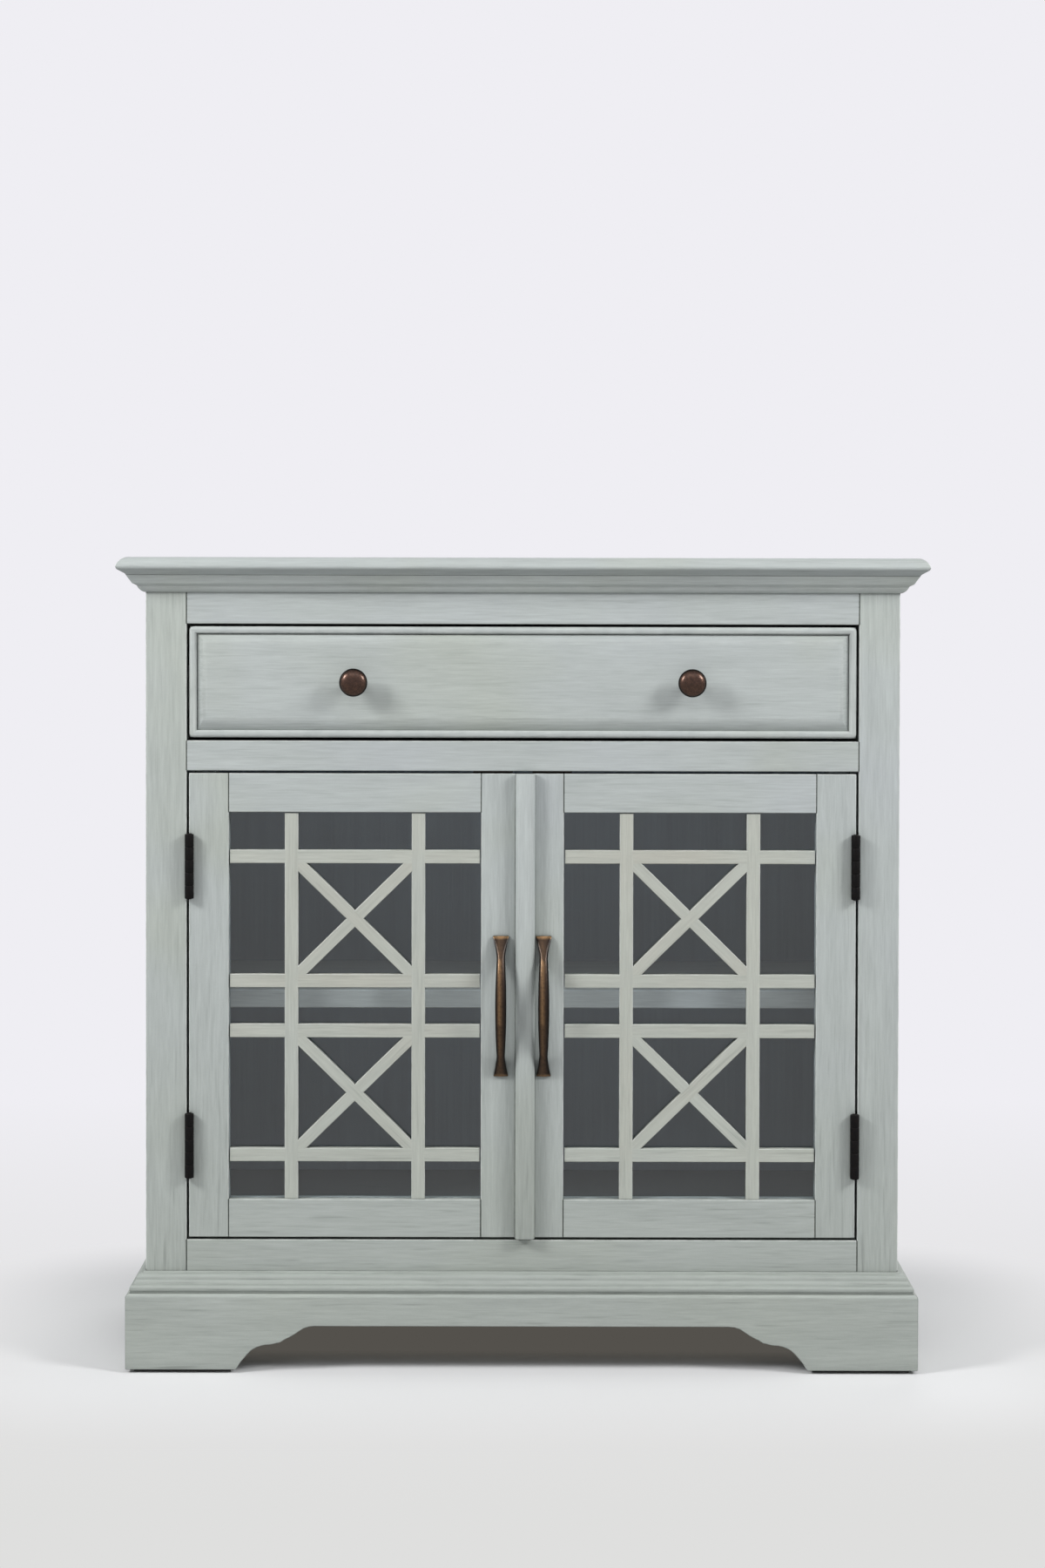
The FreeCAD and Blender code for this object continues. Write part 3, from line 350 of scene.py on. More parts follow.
def paintedFinish(name, turn, look):
    finish, tree, surface = startFinish(name, {"Specular IOR Level": look["specular"]})
    # Ambient occlusion darkens the paint towards the glaze colour in corners and gaps (near) and round the parts
    # (wide): painted shade
    cornerShade, grime = (
        remap(tree, put(tree, "AmbientOcclusion", {"Distance": look[part + "Reach"]}, samples=4).outputs["AO"],
              *look[part + "Range"], 0, look[part + "Share"]) for part in ("corner", "grime"))
    height = put(tree, "SeparateXYZ", {0: objectVector(tree)}).outputs["Z"]
    values = {
        "Vector": objectVector(tree, turn), "Seed": faceValue(tree, "boardSeed"), "Arris": faceValue(tree, "arris"),
        "Corner": maths(tree, "MAXIMUM", faceValue(tree, "glaze"), faceValue(tree, "settled")),
        "Tucked": maths(tree, "MAXIMUM", cornerShade, grime), "Streaks": look["streaks"],
        # darker towards the bottom: painted shade
        "Pooled": remap(tree, height, *look["pooling"]),
    } | coloursOf(look, "paint", "cool", "olive", "low", "glaze", "worn")
    wire(tree, surface, brushedGlaze, values, *look["relief"])
    return finish


# A darker copy of the paint for the cabinet floor inside the cupboard: painted shade for the dim inside
shadedInsideLook = dict(paintLook, paint=(92, 96, 95), cool=(90, 94, 96), olive=(88, 92, 87), low=(86, 90, 86),
                  worn=(112, 116, 114))
# A lighter copy of the paint for the shelf, whose edge is seen dimly through the glass: painted light
litShelfLook = dict(paintLook, paint=(206, 207, 198), cool=(204, 206, 204), olive=(202, 204, 192), low=(204, 206, 197))
mouldingLook = dict(paintLook, cornerReach=1.2 * mm, cornerShare=0.55, grimeShare=0.08)
# A lighter copy of the moulding paint for the crown, whose faces turn down from the lamps: painted light
litCrownLook = dict(mouldingLook, paint=(190, 196, 193), cool=(190, 195, 196), olive=(185, 191, 180),
                 low=(182, 188, 182))
# A darker copy of the paint for the base moulding, with wider painted shade round it: painted shade
shadedBaseLook = dict(paintLook, cornerReach=1.2 * mm, cornerShare=0.3, grimeShare=0.3, worn=(184, 190, 184),
                paint=(170, 176, 173), cool=(172, 177, 178), olive=(165, 171, 160), low=(163, 169, 162))
mouldingAlong, mouldingUpright = grainFinishes(paintedFinish, "mouldingPaint", mouldingLook, "Along", "Upright")
litCrownFinishes = grainFinishes(paintedFinish, "crownPaint", litCrownLook, "Along", "Inwards")
shadedBaseFinishes = grainFinishes(paintedFinish, "basePaint", shadedBaseLook, "Along", "Inwards")
shadedInsideAlong, = grainFinishes(paintedFinish, "insidePaint", shadedInsideLook, "Along")
litShelfAlong, = grainFinishes(paintedFinish, "shelfPaint", litShelfLook, "Along")
paintAlong, paintUpright, paintInwards = grainFinishes(paintedFinish, "brushedPaint", paintLook, *grainTurns)


def timberFinish(name, turn, look):
    finish, tree, surface = startFinish(name, {"Specular IOR Level": look["specular"]})
    values = {"Vector": objectVector(tree, turn), "Seed": faceValue(tree, "boardSeed")}
    wire(tree, surface, woodGrain, values | coloursOf(look, "light", "dark"), *look["relief"])
    return finish


innerLook = {"light": (146, 157, 167), "dark": (134, 144, 154), "relief": (0.2 * mm, 0.4), "specular": 0.3}
drawerLook = dict(innerLook, light=(214, 188, 148), dark=(172, 138, 96))
innerAlong, innerUpright, innerInwards = grainFinishes(timberFinish, "thinGreyPaint", innerLook, *grainTurns)
drawerAlong, drawerInwards = grainFinishes(timberFinish, "lacqueredTimber", drawerLook, "Along", "Inwards")


bareMetal = {"gloss": 0.34, "metallic": 0.9, "relief": 0.25, "lacquer": 0.0, "specular": 0.5}
metalLook = {
    "antiqueBronze": dict(bareMetal, base=(62, 45, 37), mottle=(80, 58, 47), rubbed=(150, 122, 88), gloss=0.30,
                          lacquer=0.25),
    "rubbedBronze": dict(bareMetal, base=(54, 42, 33), mottle=(68, 52, 40), rubbed=(168, 132, 92), lacquer=0.1),
    "hingeBlack": dict(bareMetal, base=(10, 10, 11), mottle=(19, 15, 14), rubbed=(30, 27, 26), gloss=0.5,
                       metallic=0.0, specular=0.1),
    "zincSteel": dict(bareMetal, base=(168, 170, 172), mottle=(186, 187, 186), rubbed=(205, 205, 204),
                      metallic=1.0, relief=0.1),
}
metalDepth, blackShare, lacquerRoughness = 0.08 * mm, 0.4, 0.16


def metalFinish(name):
    look = metalLook[name]
    finish, tree, surface = startFinish(name, {
        "Metallic": look["metallic"], "Specular IOR Level": look["specular"], "Coat Weight": look["lacquer"],
        "Coat Roughness": lacquerRoughness})
    rubbed = maths(tree, "MAXIMUM", faceValue(tree, "arris"), faceValue(tree, "rubbed"))
    values = {"Vector": objectVector(tree), "Arris": rubbed, "Tarnish": faceValue(tree, "settled"),
              "Gloss": look["gloss"], "Black": colourOf(*(blackShare * part for part in look["base"]))}
    values |= coloursOf(look, "base", "mottle", "rubbed")
    wire(tree, surface, agedMetal, values, metalDepth, look["relief"])
    return finish


antiqueBronze, rubbedBronze, hingeBlack, zincSteel = (metalFinish(name) for name in metalLook)

plasticLook = {"base": (84, 68, 56), "fleck": (96, 80, 66), "size": 900.0, "relief": (0.1 * mm, 0.3)}
rubberLook = dict(plasticLook, base=(44, 43, 41), fleck=(58, 56, 54), size=700.0)


def speckledFinish(name, look):
    finish, tree, surface = startFinish(name, {})
    values = {"Vector": objectVector(tree), "Size": look["size"]} | coloursOf(look, "base", "fleck")
    wire(tree, surface, speckle, values, *look["relief"])
    return finish


catchPlastic = speckledFinish("catchPlastic", plasticLook)
padRubber = speckledFinish("padRubber", rubberLook)


# Glass lets light through to the inside of the cupboard, and mirrors the room a little
glassLook = {
    "tint": (0.91, 0.945, 0.985, 1), "shade": (0.90, 0.93, 0.96, 1), "bend": 1.5, "hazeSize": 35.0, "haze": 0.03,
}


def glassFinish(look):
    finish, tree, surface = startFinish("doorGlass", {
        "Base Color": look["tint"], "IOR": look["bend"], "Transmission Weight": 1.0})
    values = {"Vector": objectVector(tree), "Base": look["tint"], "Fleck": look["tint"], "Size": look["hazeSize"]}
    haze = put(tree, "Group", values, node_tree=speckle).outputs["Roughness"]
    tree.links.new(remap(tree, haze, 0.5, 0.7, 0.0, look["haze"]), surface.inputs["Roughness"])
    through = put(tree, "BsdfTransparent", {"Color": look["shade"]})
    path = put(tree, "LightPath").outputs
    passing = maths(tree, "MAXIMUM", path["Is Shadow Ray"], path["Is Diffuse Ray"])
    showInstead(tree, mixShaders(tree, passing, surface, through))
    return finish


doorGlass = glassFinish(glassLook)
print("finishes made")


# Mesh helpers
def startMesh(source=None):
    bm = bmesh.new()
    if source:
        bm.from_mesh(source)
    for name in ("arris", "glaze", "boardSeed"):
        bm.faces.layers.float.new(name)
    # settled: glaze and tarnish, and painted shade on faces that point down or into recesses
    for name in ("settled", "rubbed"):
        bm.verts.layers.float.new(name)
    return bm


def addBox(bm, low, high):
    low, high = Vector(low), Vector(high)
    corners = bmesh.ops.create_cube(bm, size=1)["verts"]
    bmesh.ops.scale(bm, vec=high - low, verts=corners)
    bmesh.ops.translate(bm, vec=(low + high) / 2, verts=corners)
    return corners


def frontSheet(bm, low, high, level):
    sheet = bmesh.ops.create_grid(bm, x_segments=1, y_segments=1, size=0.5)["verts"]
    bmesh.ops.rotate(bm, matrix=Matrix.Rotation(math.radians(90), 3, "X"), verts=sheet)
    bmesh.ops.scale(bm, vec=(high.x - low.x, 1, high.z - low.z), verts=sheet)
    bmesh.ops.translate(bm, vec=((low.x + high.x) / 2, level, (low.z + high.z) / 2), verts=sheet)


def faceOutwards(bm):
    bmesh.ops.recalc_face_normals(bm, faces=bm.faces)


def facesIn(parts):
    return [part for part in parts if isinstance(part, bmesh.types.BMFace)]


def growFaces(bm, faces):
    grown = bmesh.ops.extrude_face_region(bm, geom=faces, use_keep_orig=True)["geom"]
    return [part for part in grown if isinstance(part, bmesh.types.BMVert)], facesIn(grown)


def pushFaces(bm, distance):
    bmesh.ops.translate(bm, vec=(0, distance, 0), verts=growFaces(bm, bm.faces[:])[0])
    faceOutwards(bm)


def roundOver(bm, edges, width, segments):
    return bmesh.ops.bevel(bm, geom=list(edges), offset=width, offset_type="OFFSET", segments=segments, profile=0.5,
                           affect="EDGES", clamp_overlap=False, material=-1)["faces"]


# Eased arrises: the brush rubs the ones that face up, to the worn colour with a painted highlight, and the ones that
# face down get painted shade in the glaze colour
arrisShadingLook = {"downFrom": -0.2, "glaze": 0.5}


def soften(bm, edges, width, segments=2):
    arris, glaze = (bm.faces.layers.float[name] for name in ("arris", "glaze"))
    made = roundOver(bm, edges, width, segments)
    for face in made:
        face.normal_update()
        # facing up: rubbed wear with a painted highlight; facing down: painted shade
        rubbed = face.normal.z > arrisShadingLook["downFrom"]
        face[arris] = 1 if rubbed else 0
        face[glaze] = 0 if rubbed else arrisShadingLook["glaze"]
    return made


def sharpEdges(bm, angle=30):
    return [edge for edge in bm.edges if edge.is_manifold and edge.calc_face_angle() > math.radians(angle)]


def inFront(edges, level):
    return [edge for edge in edges if all(corner.co.y < level for corner in edge.verts)]


def spanOf(edge, axis):
    first, second = edge.verts
    return abs(first.co[axis] - second.co[axis])


# Separate boards in one mesh get numbers, so that the brush strokes don't run from one to the next
def numberBoards(bm, name):
    seed = bm.faces.layers.float["boardSeed"]
    number = sum((place + 1) * ord(letter) for place, letter in enumerate(name)) % 89
    numbered = set()
    for first in bm.faces:
        if first in numbered:
            continue
        number += 1.37
        waiting = {first}
        while waiting:
            face = waiting.pop()
            face[seed] = number
            numbered.add(face)
            waiting.update(other for edge in face.edges for other in edge.link_faces if other not in numbered)


def endMesh(name, bm, finishes):
    mesh = bpy.data.meshes.new(name)
    bm.to_mesh(mesh)
    bm.free()
    for finish in finishes:
        mesh.materials.append(finish)
    return mesh


def camelName(nodeName):
    first, *others = nodeName.split("_")
    return first + "".join(word.capitalize() for word in others)


# A piece stands for one part of the solid model and takes its body and, unless another is given, its name
def makePiece(nodeName, bm, finishes, smoothTo=20, name=None):
    name, body = name or camelName(nodeName), nodes[nodeName]["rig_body"]
    numberBoards(bm, name)
    mesh = endMesh(name, bm, finishes)
    mesh.shade_smooth()
    mesh.set_sharp_from_angle(angle=math.radians(smoothTo))
    piece = addObject(name, mesh)
    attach(piece, body)
    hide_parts(nodeName)


def surfaceOf(mesh):
    return BVHTree.FromPolygons([corner.co for corner in mesh.vertices], [side.vertices for side in mesh.polygons])


def cutSheet(bm, faces, point, normal):
    parts = set(faces)
    for face in faces:
        parts.update(face.edges)
        parts.update(face.verts)
    return bmesh.ops.bisect_plane(bm, geom=list(parts), plane_co=point, plane_no=normal, dist=0.001 * mm)["geom"]


# Where an arris meets the next board of the same body, the glaze fills the joint
jointLook = {"reach": 0.6 * mm, "glaze": 1.0, "plinthGlaze": 0.25}


def glazeJoints(bm, nodeName, eased):
    low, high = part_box(nodeName)
    reach = jointLook["reach"]
    eased = [face for face in eased if face.is_valid]
    others = []
    for other in paintedSurfaces:
        otherLow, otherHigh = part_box(other)
        touching = all(otherLow[axis] - reach < high[axis] and low[axis] - reach < otherHigh[axis] for axis in range(3))
        if other == nodeName or nodes[other]["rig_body"] != nodes[nodeName]["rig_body"] or not touching:
            continue
        others.append(paintedSurfaces[other])
        for axis in range(3):
            across = Vector([int(place == axis) for place in range(3)])
            for level in (otherLow[axis], otherHigh[axis]):
                if low[axis] + reach < level < high[axis] - reach:
                    cut = set(facesIn(cutSheet(bm, eased, across * level, across)))
                    eased = list(cut | {face for face in eased if face.is_valid})
    arris, glaze = (bm.faces.layers.float[name] for name in ("arris", "glaze"))
    for face in eased:
        centre = face.calc_center_median()
        if any(surface.find_nearest(centre, reach)[0] for surface in others):
            face[arris] = 0
            face[glaze] = jointLook["plinthGlaze" if "plinth" in nodeName else "glaze"]


# The left meeting stile is undercut: its front comes nearer to the cover strip than its back
stileUndercut = 1.3 * mm
# Painted shade under the top board's nose: the more a point faces down, the darker (share, steepness, start)
noseShadeLook = {"settled": 0.15, "steepness": 1.9, "start": 0.4}

# The plinth's cut-out droops a little at both bends: (distance from the middle, drop)
footDrops = ((288, 0), (286, 2.2), (279, 2.8), (275, 1.4), (269, 0), (244, 0), (238, 1.7), (232, 3.6), (227, 3.1),
             (221, 1.3), (217, 0))


def footDrop(place):
    for (outer, first), (inner, second) in zip(footDrops, footDrops[1:]):
        if inner <= place <= outer:
            return (first + (second - first) * (outer - place) / (outer - inner)) * mm
    return 0


# The part's own board with its flats joined up and its arrises eased
def easedBoard(nodeName, finish, arris):
    source = nodes[nodeName].data.copy()
    if "custom_normal" in source.attributes:
        source.attributes.remove(source.attributes["custom_normal"])
    bm = startMesh(source)
    bpy.data.meshes.remove(source)
    bmesh.ops.remove_doubles(bm, verts=bm.verts, dist=0.002 * mm)
    bmesh.ops.dissolve_limit(bm, angle_limit=math.radians(0.5), verts=bm.verts, edges=bm.edges)
    low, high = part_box(nodeName)
    for corner in bm.verts:
        inCorner = corner.co.x > high.x - 0.01 * mm and corner.co.y < low.y + 0.01 * mm
        if nodeName == "left_door_meeting_stile" and inCorner:
            corner.co.x += stileUndercut
        if nodeName == "front_plinth" and low.z + mm < corner.co.z < high.z - 20 * mm:
            corner.co.z -= footDrop(abs(corner.co.x) / mm)
    eased = soften(bm, sharpEdges(bm, 30), arris)
    if nodeName in paintedSurfaces:
        glazeJoints(bm, nodeName, eased)
    if nodeName == "top_board":
        # painted shade on the nose's underside
        bm.normal_update()
        settled = bm.verts.layers.float["settled"]
        for corner in bm.verts:
            below = -noseShadeLook["steepness"] * corner.normal.z - noseShadeLook["start"]
            corner[settled] = noseShadeLook["settled"] * min(1, max(0, below))
    makePiece(nodeName, bm, [finish])


# Boards of the case and doors, each with its finish and the width of its eased arrises
boards = {
    "top_board": (paintAlong, 0.5), "front_top_rail": (paintAlong, 0.7), "front_middle_rail": (paintAlong, 0.7),
    "front_bottom_rail": (paintAlong, 0.7), "cabinet_floor": (shadedInsideAlong, 0.8), "shelf": (litShelfAlong, 1.0),
    "front_left_post": (paintUpright, 0.7), "front_right_post": (paintUpright, 0.7),
    "back_left_post": (paintUpright, 0.7), "back_right_post": (paintUpright, 0.7),
    "left_side_panel": (paintUpright, 0.3), "right_side_panel": (paintUpright, 0.3),
    "side_rails": (paintInwards, 0.5), "front_plinth": (paintAlong, 0.7),
    "left_plinth": (paintInwards, 0.7), "right_plinth": (paintInwards, 0.7),
}
doorBoards = {
    "hinge_stile": (paintUpright, 0.65), "meeting_stile": (paintUpright, 0.65), "top_rail": (paintAlong, 0.65),
    "bottom_rail": (paintAlong, 0.65), "glass_beads": (paintUpright, 0.4),
}
boards.update({door + name: look for door in ("left_door_", "right_door_") for name, look in doorBoards.items()})
paintedSurfaces = {nodeName: surfaceOf(nodes[nodeName].data)
                   for nodeName in (*boards, "crown_moulding", "base_moulding")}
for nodeName, (finish, arris) in boards.items():
    easedBoard(nodeName, finish, arris * mm)

innerBoards = {"back_panel": innerUpright, "back_rails": innerAlong, "dust_panel": innerAlong,
               "corner_blocks": innerUpright, "runner_cleats": innerInwards}
for nodeName, finish in innerBoards.items():
    easedBoard(nodeName, finish, 0.4 * mm)

drawerBoards = {"drawer_sides": drawerInwards, "drawer_back": drawerAlong, "drawer_bottom": drawerAlong}
for nodeName, finish in drawerBoards.items():
    easedBoard(nodeName, finish, 0.6 * mm)
print("boards eased:", len(boards) + len(innerBoards) + len(drawerBoards))


# Mouldings: corner points as (reach beyond the posts, height, rounding), swept round the left side, front and
# right side. What faces down gets painted shade; along the lines, (height, amount), glaze and painted shade darken the
# recesses.
crownProfile = {
    "node": "crown_moulding", "finishes": litCrownFinishes, "settling": 0.04,
    "lines": ((0.9, 0.22), (7.9, 0.12), (16.9, 0.06)),
    "points": ((0, 0.9, 0), (0.6, 0.9, 0), (6.4, 2.3, 5.6), (8.0, 7.7, 0.25), (12.3, 9.9, 0.4), (16.8, 16.7, 0.3),
               (17.5, 17.4, 0), (17.5, 18, 0), (0, 18, 0)),
}
baseProfile = {
    "node": "base_moulding", "finishes": shadedBaseFinishes, "settling": 0.12, "lines": (),
    "points": ((0, 0, 0), (14.1, 0, 0.2), (14.1, 1.9, 0.2), (14.8, 2.5, 0.3), (14.8, 7.1, 2.4), (11.3, 7.7, 0.15),
               (10.9, 9.9, 1.9), (8.6, 12.3, 0.2), (8.1, 17.9, 4.4), (2.6, 18.2, 0.15), (2.0, 19.6, 0.3), (0, 19.6, 0)),
}
postLine = {"half": 379.4 * mm, "front": -150.8 * mm, "back": 172.8 * mm}
roundingLook = {"broadFrom": 1, "broad": {"segments": 6, "rubbed": 0.15}, "fine": {"segments": 2, "rubbed": 0.3}}


def wrappedMoulding(profile):
    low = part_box(profile["node"])[0]
    half, front, back = postLine["half"], postLine["front"], postLine["back"]
    bm = startMesh()
    order = bm.verts.layers.int.new("profilePoint")
    ring = []
    for place, (reach, rise, _) in enumerate(profile["points"]):
        corner = bm.verts.new((-half - reach * mm, back, low.z + rise * mm))
        corner[order] = place
        ring.append(corner)
    end = bm.faces.new(ring)
    for station in ("frontLeft", "frontRight", "backRight"):
        before = end
        corners, (end, *_) = growFaces(bm, [end])
        for corner in corners:
            reach = profile["points"][corner[order]][0] * mm
            corner.co.x = -half - reach if station == "frontLeft" else half + reach
            corner.co.y = back if station == "backRight" else front - reach
        if station != "frontLeft" and before.is_valid:
            bm.faces.remove(before)
    faceOutwards(bm)
    for face in bm.faces:
        face.material_index = 0 if abs(face.calc_center_median().x) < half / 2 else 1
    arris, settled = bm.faces.layers.float["arris"], bm.verts.layers.float["settled"]
    for place, (_, _, rounding) in enumerate(profile["points"]):
        if rounding:
            lengths = [edge for edge in bm.edges if all(corner[order] == place for corner in edge.verts)
                       and edge.calc_length() > 50 * mm]
            look = roundingLook["broad" if rounding > roundingLook["broadFrom"] else "fine"]
            for face in roundOver(bm, lengths, rounding * mm, look["segments"]):
                face[arris] = look["rubbed"]
    bm.normal_update()
    # painted shade on what faces down; glaze with painted shade along the lines
    for corner in bm.verts:
        corner[settled] = profile["settling"] * max(0, -corner.normal.z)
        for rise, amount in profile["lines"]:
            if abs(corner.co.z - low.z - rise * mm) < 0.5 * mm:
                corner[settled] = max(corner[settled], amount)
    makePiece(profile["node"], bm, profile["finishes"], 34)


wrappedMoulding(crownProfile)
wrappedMoulding(baseProfile)
print("mouldings run")


# Drawer front: a raised field with sloping margins, set behind a rounded bead
frontLook = {
    "quirkWidth": 0.7 * mm, "quirkFoot": 0.05 * mm, "marginRise": 2.8 * mm, "marginWidth": 7.5 * mm,
    "marginFoot": 4.0 * mm, "fieldFront": -150.0 * mm, "ridge": 2.4 * mm, "ridgeRubbed": 0.1, "arris": 0.3 * mm,
    "footZone": 2.0 * mm, "footSettled": 0.36, "marginGlazeShade": 0.1,
}
beadLook = {
    "width": 7.4 * mm, "round": 3.3 * mm, "cornerRound": 4.2 * mm, "mitreInset": 0.55 * mm, "rubbed": 0.3,
    "innerSettled": 0.75, "footShare": 0.2, "sideSettled": 0.1, "underFaceShade": 0.25, "underPower": 0.7,
}


def raisedFront(look):
    low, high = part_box("drawer_front")
    middle = (low.z + high.z) / 2
    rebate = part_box("drawer_front_bead")[1].y
    bm = startMesh()
    addBox(bm, (low.x, rebate, low.z), high)
    before = max(bm.faces, key=lambda face: -face.normal.y)
    bmesh.ops.inset_region(bm, faces=[before], thickness=beadLook["width"] + look["quirkWidth"], use_even_offset=True)
    for corner in before.verts:
        if corner.co.z < middle:  # the quirk is nearly closed along the bottom
            corner.co.z += look["quirkFoot"] - look["quirkWidth"]
    panel = facesIn(bmesh.ops.extrude_face_region(bm, geom=[before])["geom"])[0]
    if before.is_valid:
        bm.faces.remove(before)
    edgeLevel = look["fieldFront"] + look["marginRise"]
    bmesh.ops.translate(bm, vec=(0, edgeLevel - rebate, 0), verts=panel.verts)
    bmesh.ops.inset_region(bm, faces=[panel], thickness=look["marginWidth"], use_even_offset=True)
    bmesh.ops.translate(bm, vec=(0, -look["marginRise"], 0), verts=panel.verts)
    for corner in panel.verts:
        if corner.co.z < middle:
            corner.co.z += look["marginFoot"]
    faceOutwards(bm)
    arris, glaze = (bm.faces.layers.float[name] for name in ("arris", "glaze"))
    settled = bm.verts.layers.float["settled"]
    for face in soften(bm, panel.edges, look["ridge"], 5):
        face[arris] = look["ridgeRubbed"]
    soften(bm, sharpEdges(bm, 60), look["arris"])
    for face in bm.faces:
        face[glaze] = 0
    # glaze with painted shade on the bottom margin, darkest at its foot
    for corner in bm.verts:
        if corner.co.z < middle and -mm < edgeLevel - corner.co.y < look["marginRise"] - 0.1 * mm:
            above = corner.co.z - low.z - beadLook["width"]
            corner[settled] = look["footSettled" if above < look["footZone"] else "marginGlazeShade"]
    makePiece("drawer_front", bm, [mouldingAlong])


def roundedBead(look):
    low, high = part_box("drawer_front_bead")
    middle, halfHeight = (low.z + high.z) / 2, (high.z - low.z) / 2
    bm = startMesh()
    frontSheet(bm, low, high, high.y)
    opening = bm.faces[:]
    bmesh.ops.inset_region(bm, faces=opening, thickness=look["width"], use_boundary=True, use_even_offset=True)
    bmesh.ops.delete(bm, geom=opening, context="FACES")
    pushFaces(bm, low.y - high.y)
    for face in bm.faces:
        centre = face.calc_center_median()
        face.material_index = int(high.x - abs(centre.x) < min(high.z - centre.z, centre.z - low.z) * 1.01)
    posts = [edge for edge in bm.edges if spanOf(edge, 1) > 5 * mm and abs(edge.verts[0].co.x) > high.x - mm]
    roundOver(bm, posts, look["cornerRound"], 5)
    for corner in bm.verts:
        # the mitre's outer end goes between the two rolls, so neither can fold over it
        inset = min(high.x - abs(corner.co.x), halfHeight - abs(corner.co.z - middle))
        if look["cornerRound"] / 3 < inset < look["cornerRound"]:
            pushed = look["round"] + look["mitreInset"]
            corner.co.x = math.copysign(high.x - pushed, corner.co.x)
            corner.co.z = middle + math.copysign(halfHeight - pushed, corner.co.z - middle)
    fronts = inFront(sharpEdges(bm, 60), low.y + 0.1 * mm)
    arris, settled = bm.faces.layers.float["arris"], bm.verts.layers.float["settled"]
    for face in roundOver(bm, fronts, look["round"], 6):
        face[arris] = look["rubbed"]
    bm.normal_update()
    # glaze with painted shade on the inner side towards the quirk (less along the bottom), painted shade on what faces
    # down, a light glaze on the sides
    for corner in bm.verts:
        beside = high.x - abs(corner.co.x) < high.z - middle - abs(corner.co.z - middle)
        if beside:
            inner = -math.copysign(1, corner.co.x) * corner.normal.x
        else:
            inner = math.copysign(1, middle - corner.co.z) * corner.normal.z
            inner *= look["footShare"] if corner.co.z < middle else 1
        under = look["underFaceShade"] * max(0, -corner.normal.z) ** look["underPower"]
        corner[settled] = max(look["innerSettled"] * inner, look["sideSettled"] if beside else 0, under)
    makePiece("drawer_front_bead", bm, [mouldingAlong, mouldingUpright], 34)


raisedFront(frontLook)
roundedBead(beadLook)
print("drawer front made")


# Door lattice: one seamless grille cut from a sheet, with its bars as centre lines in the right door
latticeLook = {
    "uprights": (104.84 * mm, 232.76 * mm), "crossbars": (216.5 * mm, 341.9 * mm, 392.4 * mm, 517.8 * mm),
    "barHalf": 6.75 * mm, "diagonalHalf": 6.0 * mm, "arris": 0.45 * mm, "endGap": 0.3 * mm,
    "warm": dict(paintLook, paint=(184, 187, 178), olive=(185, 182, 170), cool=(182, 188, 184), low=(182, 187, 178)),
}
fieldRun = latticeLook["uprights"][1] - latticeLook["uprights"][0] - 2 * latticeLook["barHalf"]
fieldRise = latticeLook["crossbars"][1] - latticeLook["crossbars"][0] - 2 * latticeLook["barHalf"]
diagonalTurn = math.atan2(fieldRise, fieldRun)
grainTurns.update(Rising=(0, diagonalTurn, 0), Falling=(0, -diagonalTurn, 0))
latticePaint = grainFinishes(paintedFinish, "latticePaint", latticeLook["warm"],
                             "Along", "Upright", "Rising", "Falling")


def isBetween(point, low, high):
    return low.x < point.x < high.x and low.z < point.z < high.z


def makeLattice(door, side):
    look = latticeLook
    low, high = (corner.copy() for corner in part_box(door + "_lattice"))
    low.x, high.x = low.x + look["endGap"], high.x - look["endGap"]
    if side < 0:
        low.x, high.x = -high.x, -low.x
    half = look["barHalf"]
    # bars are (finish, point on the centre line, normal, half width, corners of the area that they cross)
    bars = [(1, Vector((x, low.y, 0)), Vector((1, 0, 0)), half, low, high) for x in look["uprights"]]
    bars += [(0, Vector((0, low.y, z)), Vector((0, 0, 1)), half, low, high) for z in look["crossbars"]]
    for bottom, top in (look["crossbars"][:2], look["crossbars"][2:]):
        fieldLow = Vector((look["uprights"][0] + half, low.y, bottom + half))
        fieldHigh = Vector((look["uprights"][1] - half, low.y, top - half))
        middle, run = (fieldLow + fieldHigh) / 2, (fieldHigh - fieldLow).normalized()
        for finish, slope in ((2, 1), (3, -1)):
            across = Vector((-slope * run.z, 0, run.x))
            bars.append((finish, middle, across, look["diagonalHalf"], fieldLow, fieldHigh))
    bm = startMesh()
    frontSheet(bm, low, high, low.y)
    for finish, point, across, reach, *area in bars:
        for offset in (-reach, reach):
            inside = [face for face in bm.faces if isBetween(face.calc_center_median(), *area)]
            cutSheet(bm, inside, point + across * offset, across)
    openings = []
    for face in bm.faces:
        centre = face.calc_center_median()
        crossed = [finish for finish, point, across, reach, *area in bars
                   if isBetween(centre, *area) and abs((centre - point).dot(across)) < reach]
        if crossed:
            face.material_index = crossed[0]
        else:
            openings.append(face)
    bmesh.ops.delete(bm, geom=openings, context="FACES")
    pushFaces(bm, high.y - low.y)
    if side < 0:
        bmesh.ops.scale(bm, vec=(-1, 1, 1), verts=bm.verts)
        for face in bm.faces:  # the rising and falling bars trade places in the mirrored door
            face.material_index = {2: 3, 3: 2}.get(face.material_index, face.material_index)
        faceOutwards(bm)
    soften(bm, inFront(sharpEdges(bm), low.y + 0.01 * mm), look["arris"])
    makePiece(door + "_lattice", bm, latticePaint)


makeLattice("left_door", -1)
makeLattice("right_door", 1)
print("lattices cut")


# Cover strip on the right door, beside the meeting gap
stripLook = {"round": 5.2 * mm, "segments": 7, "arris": 0.35 * mm}


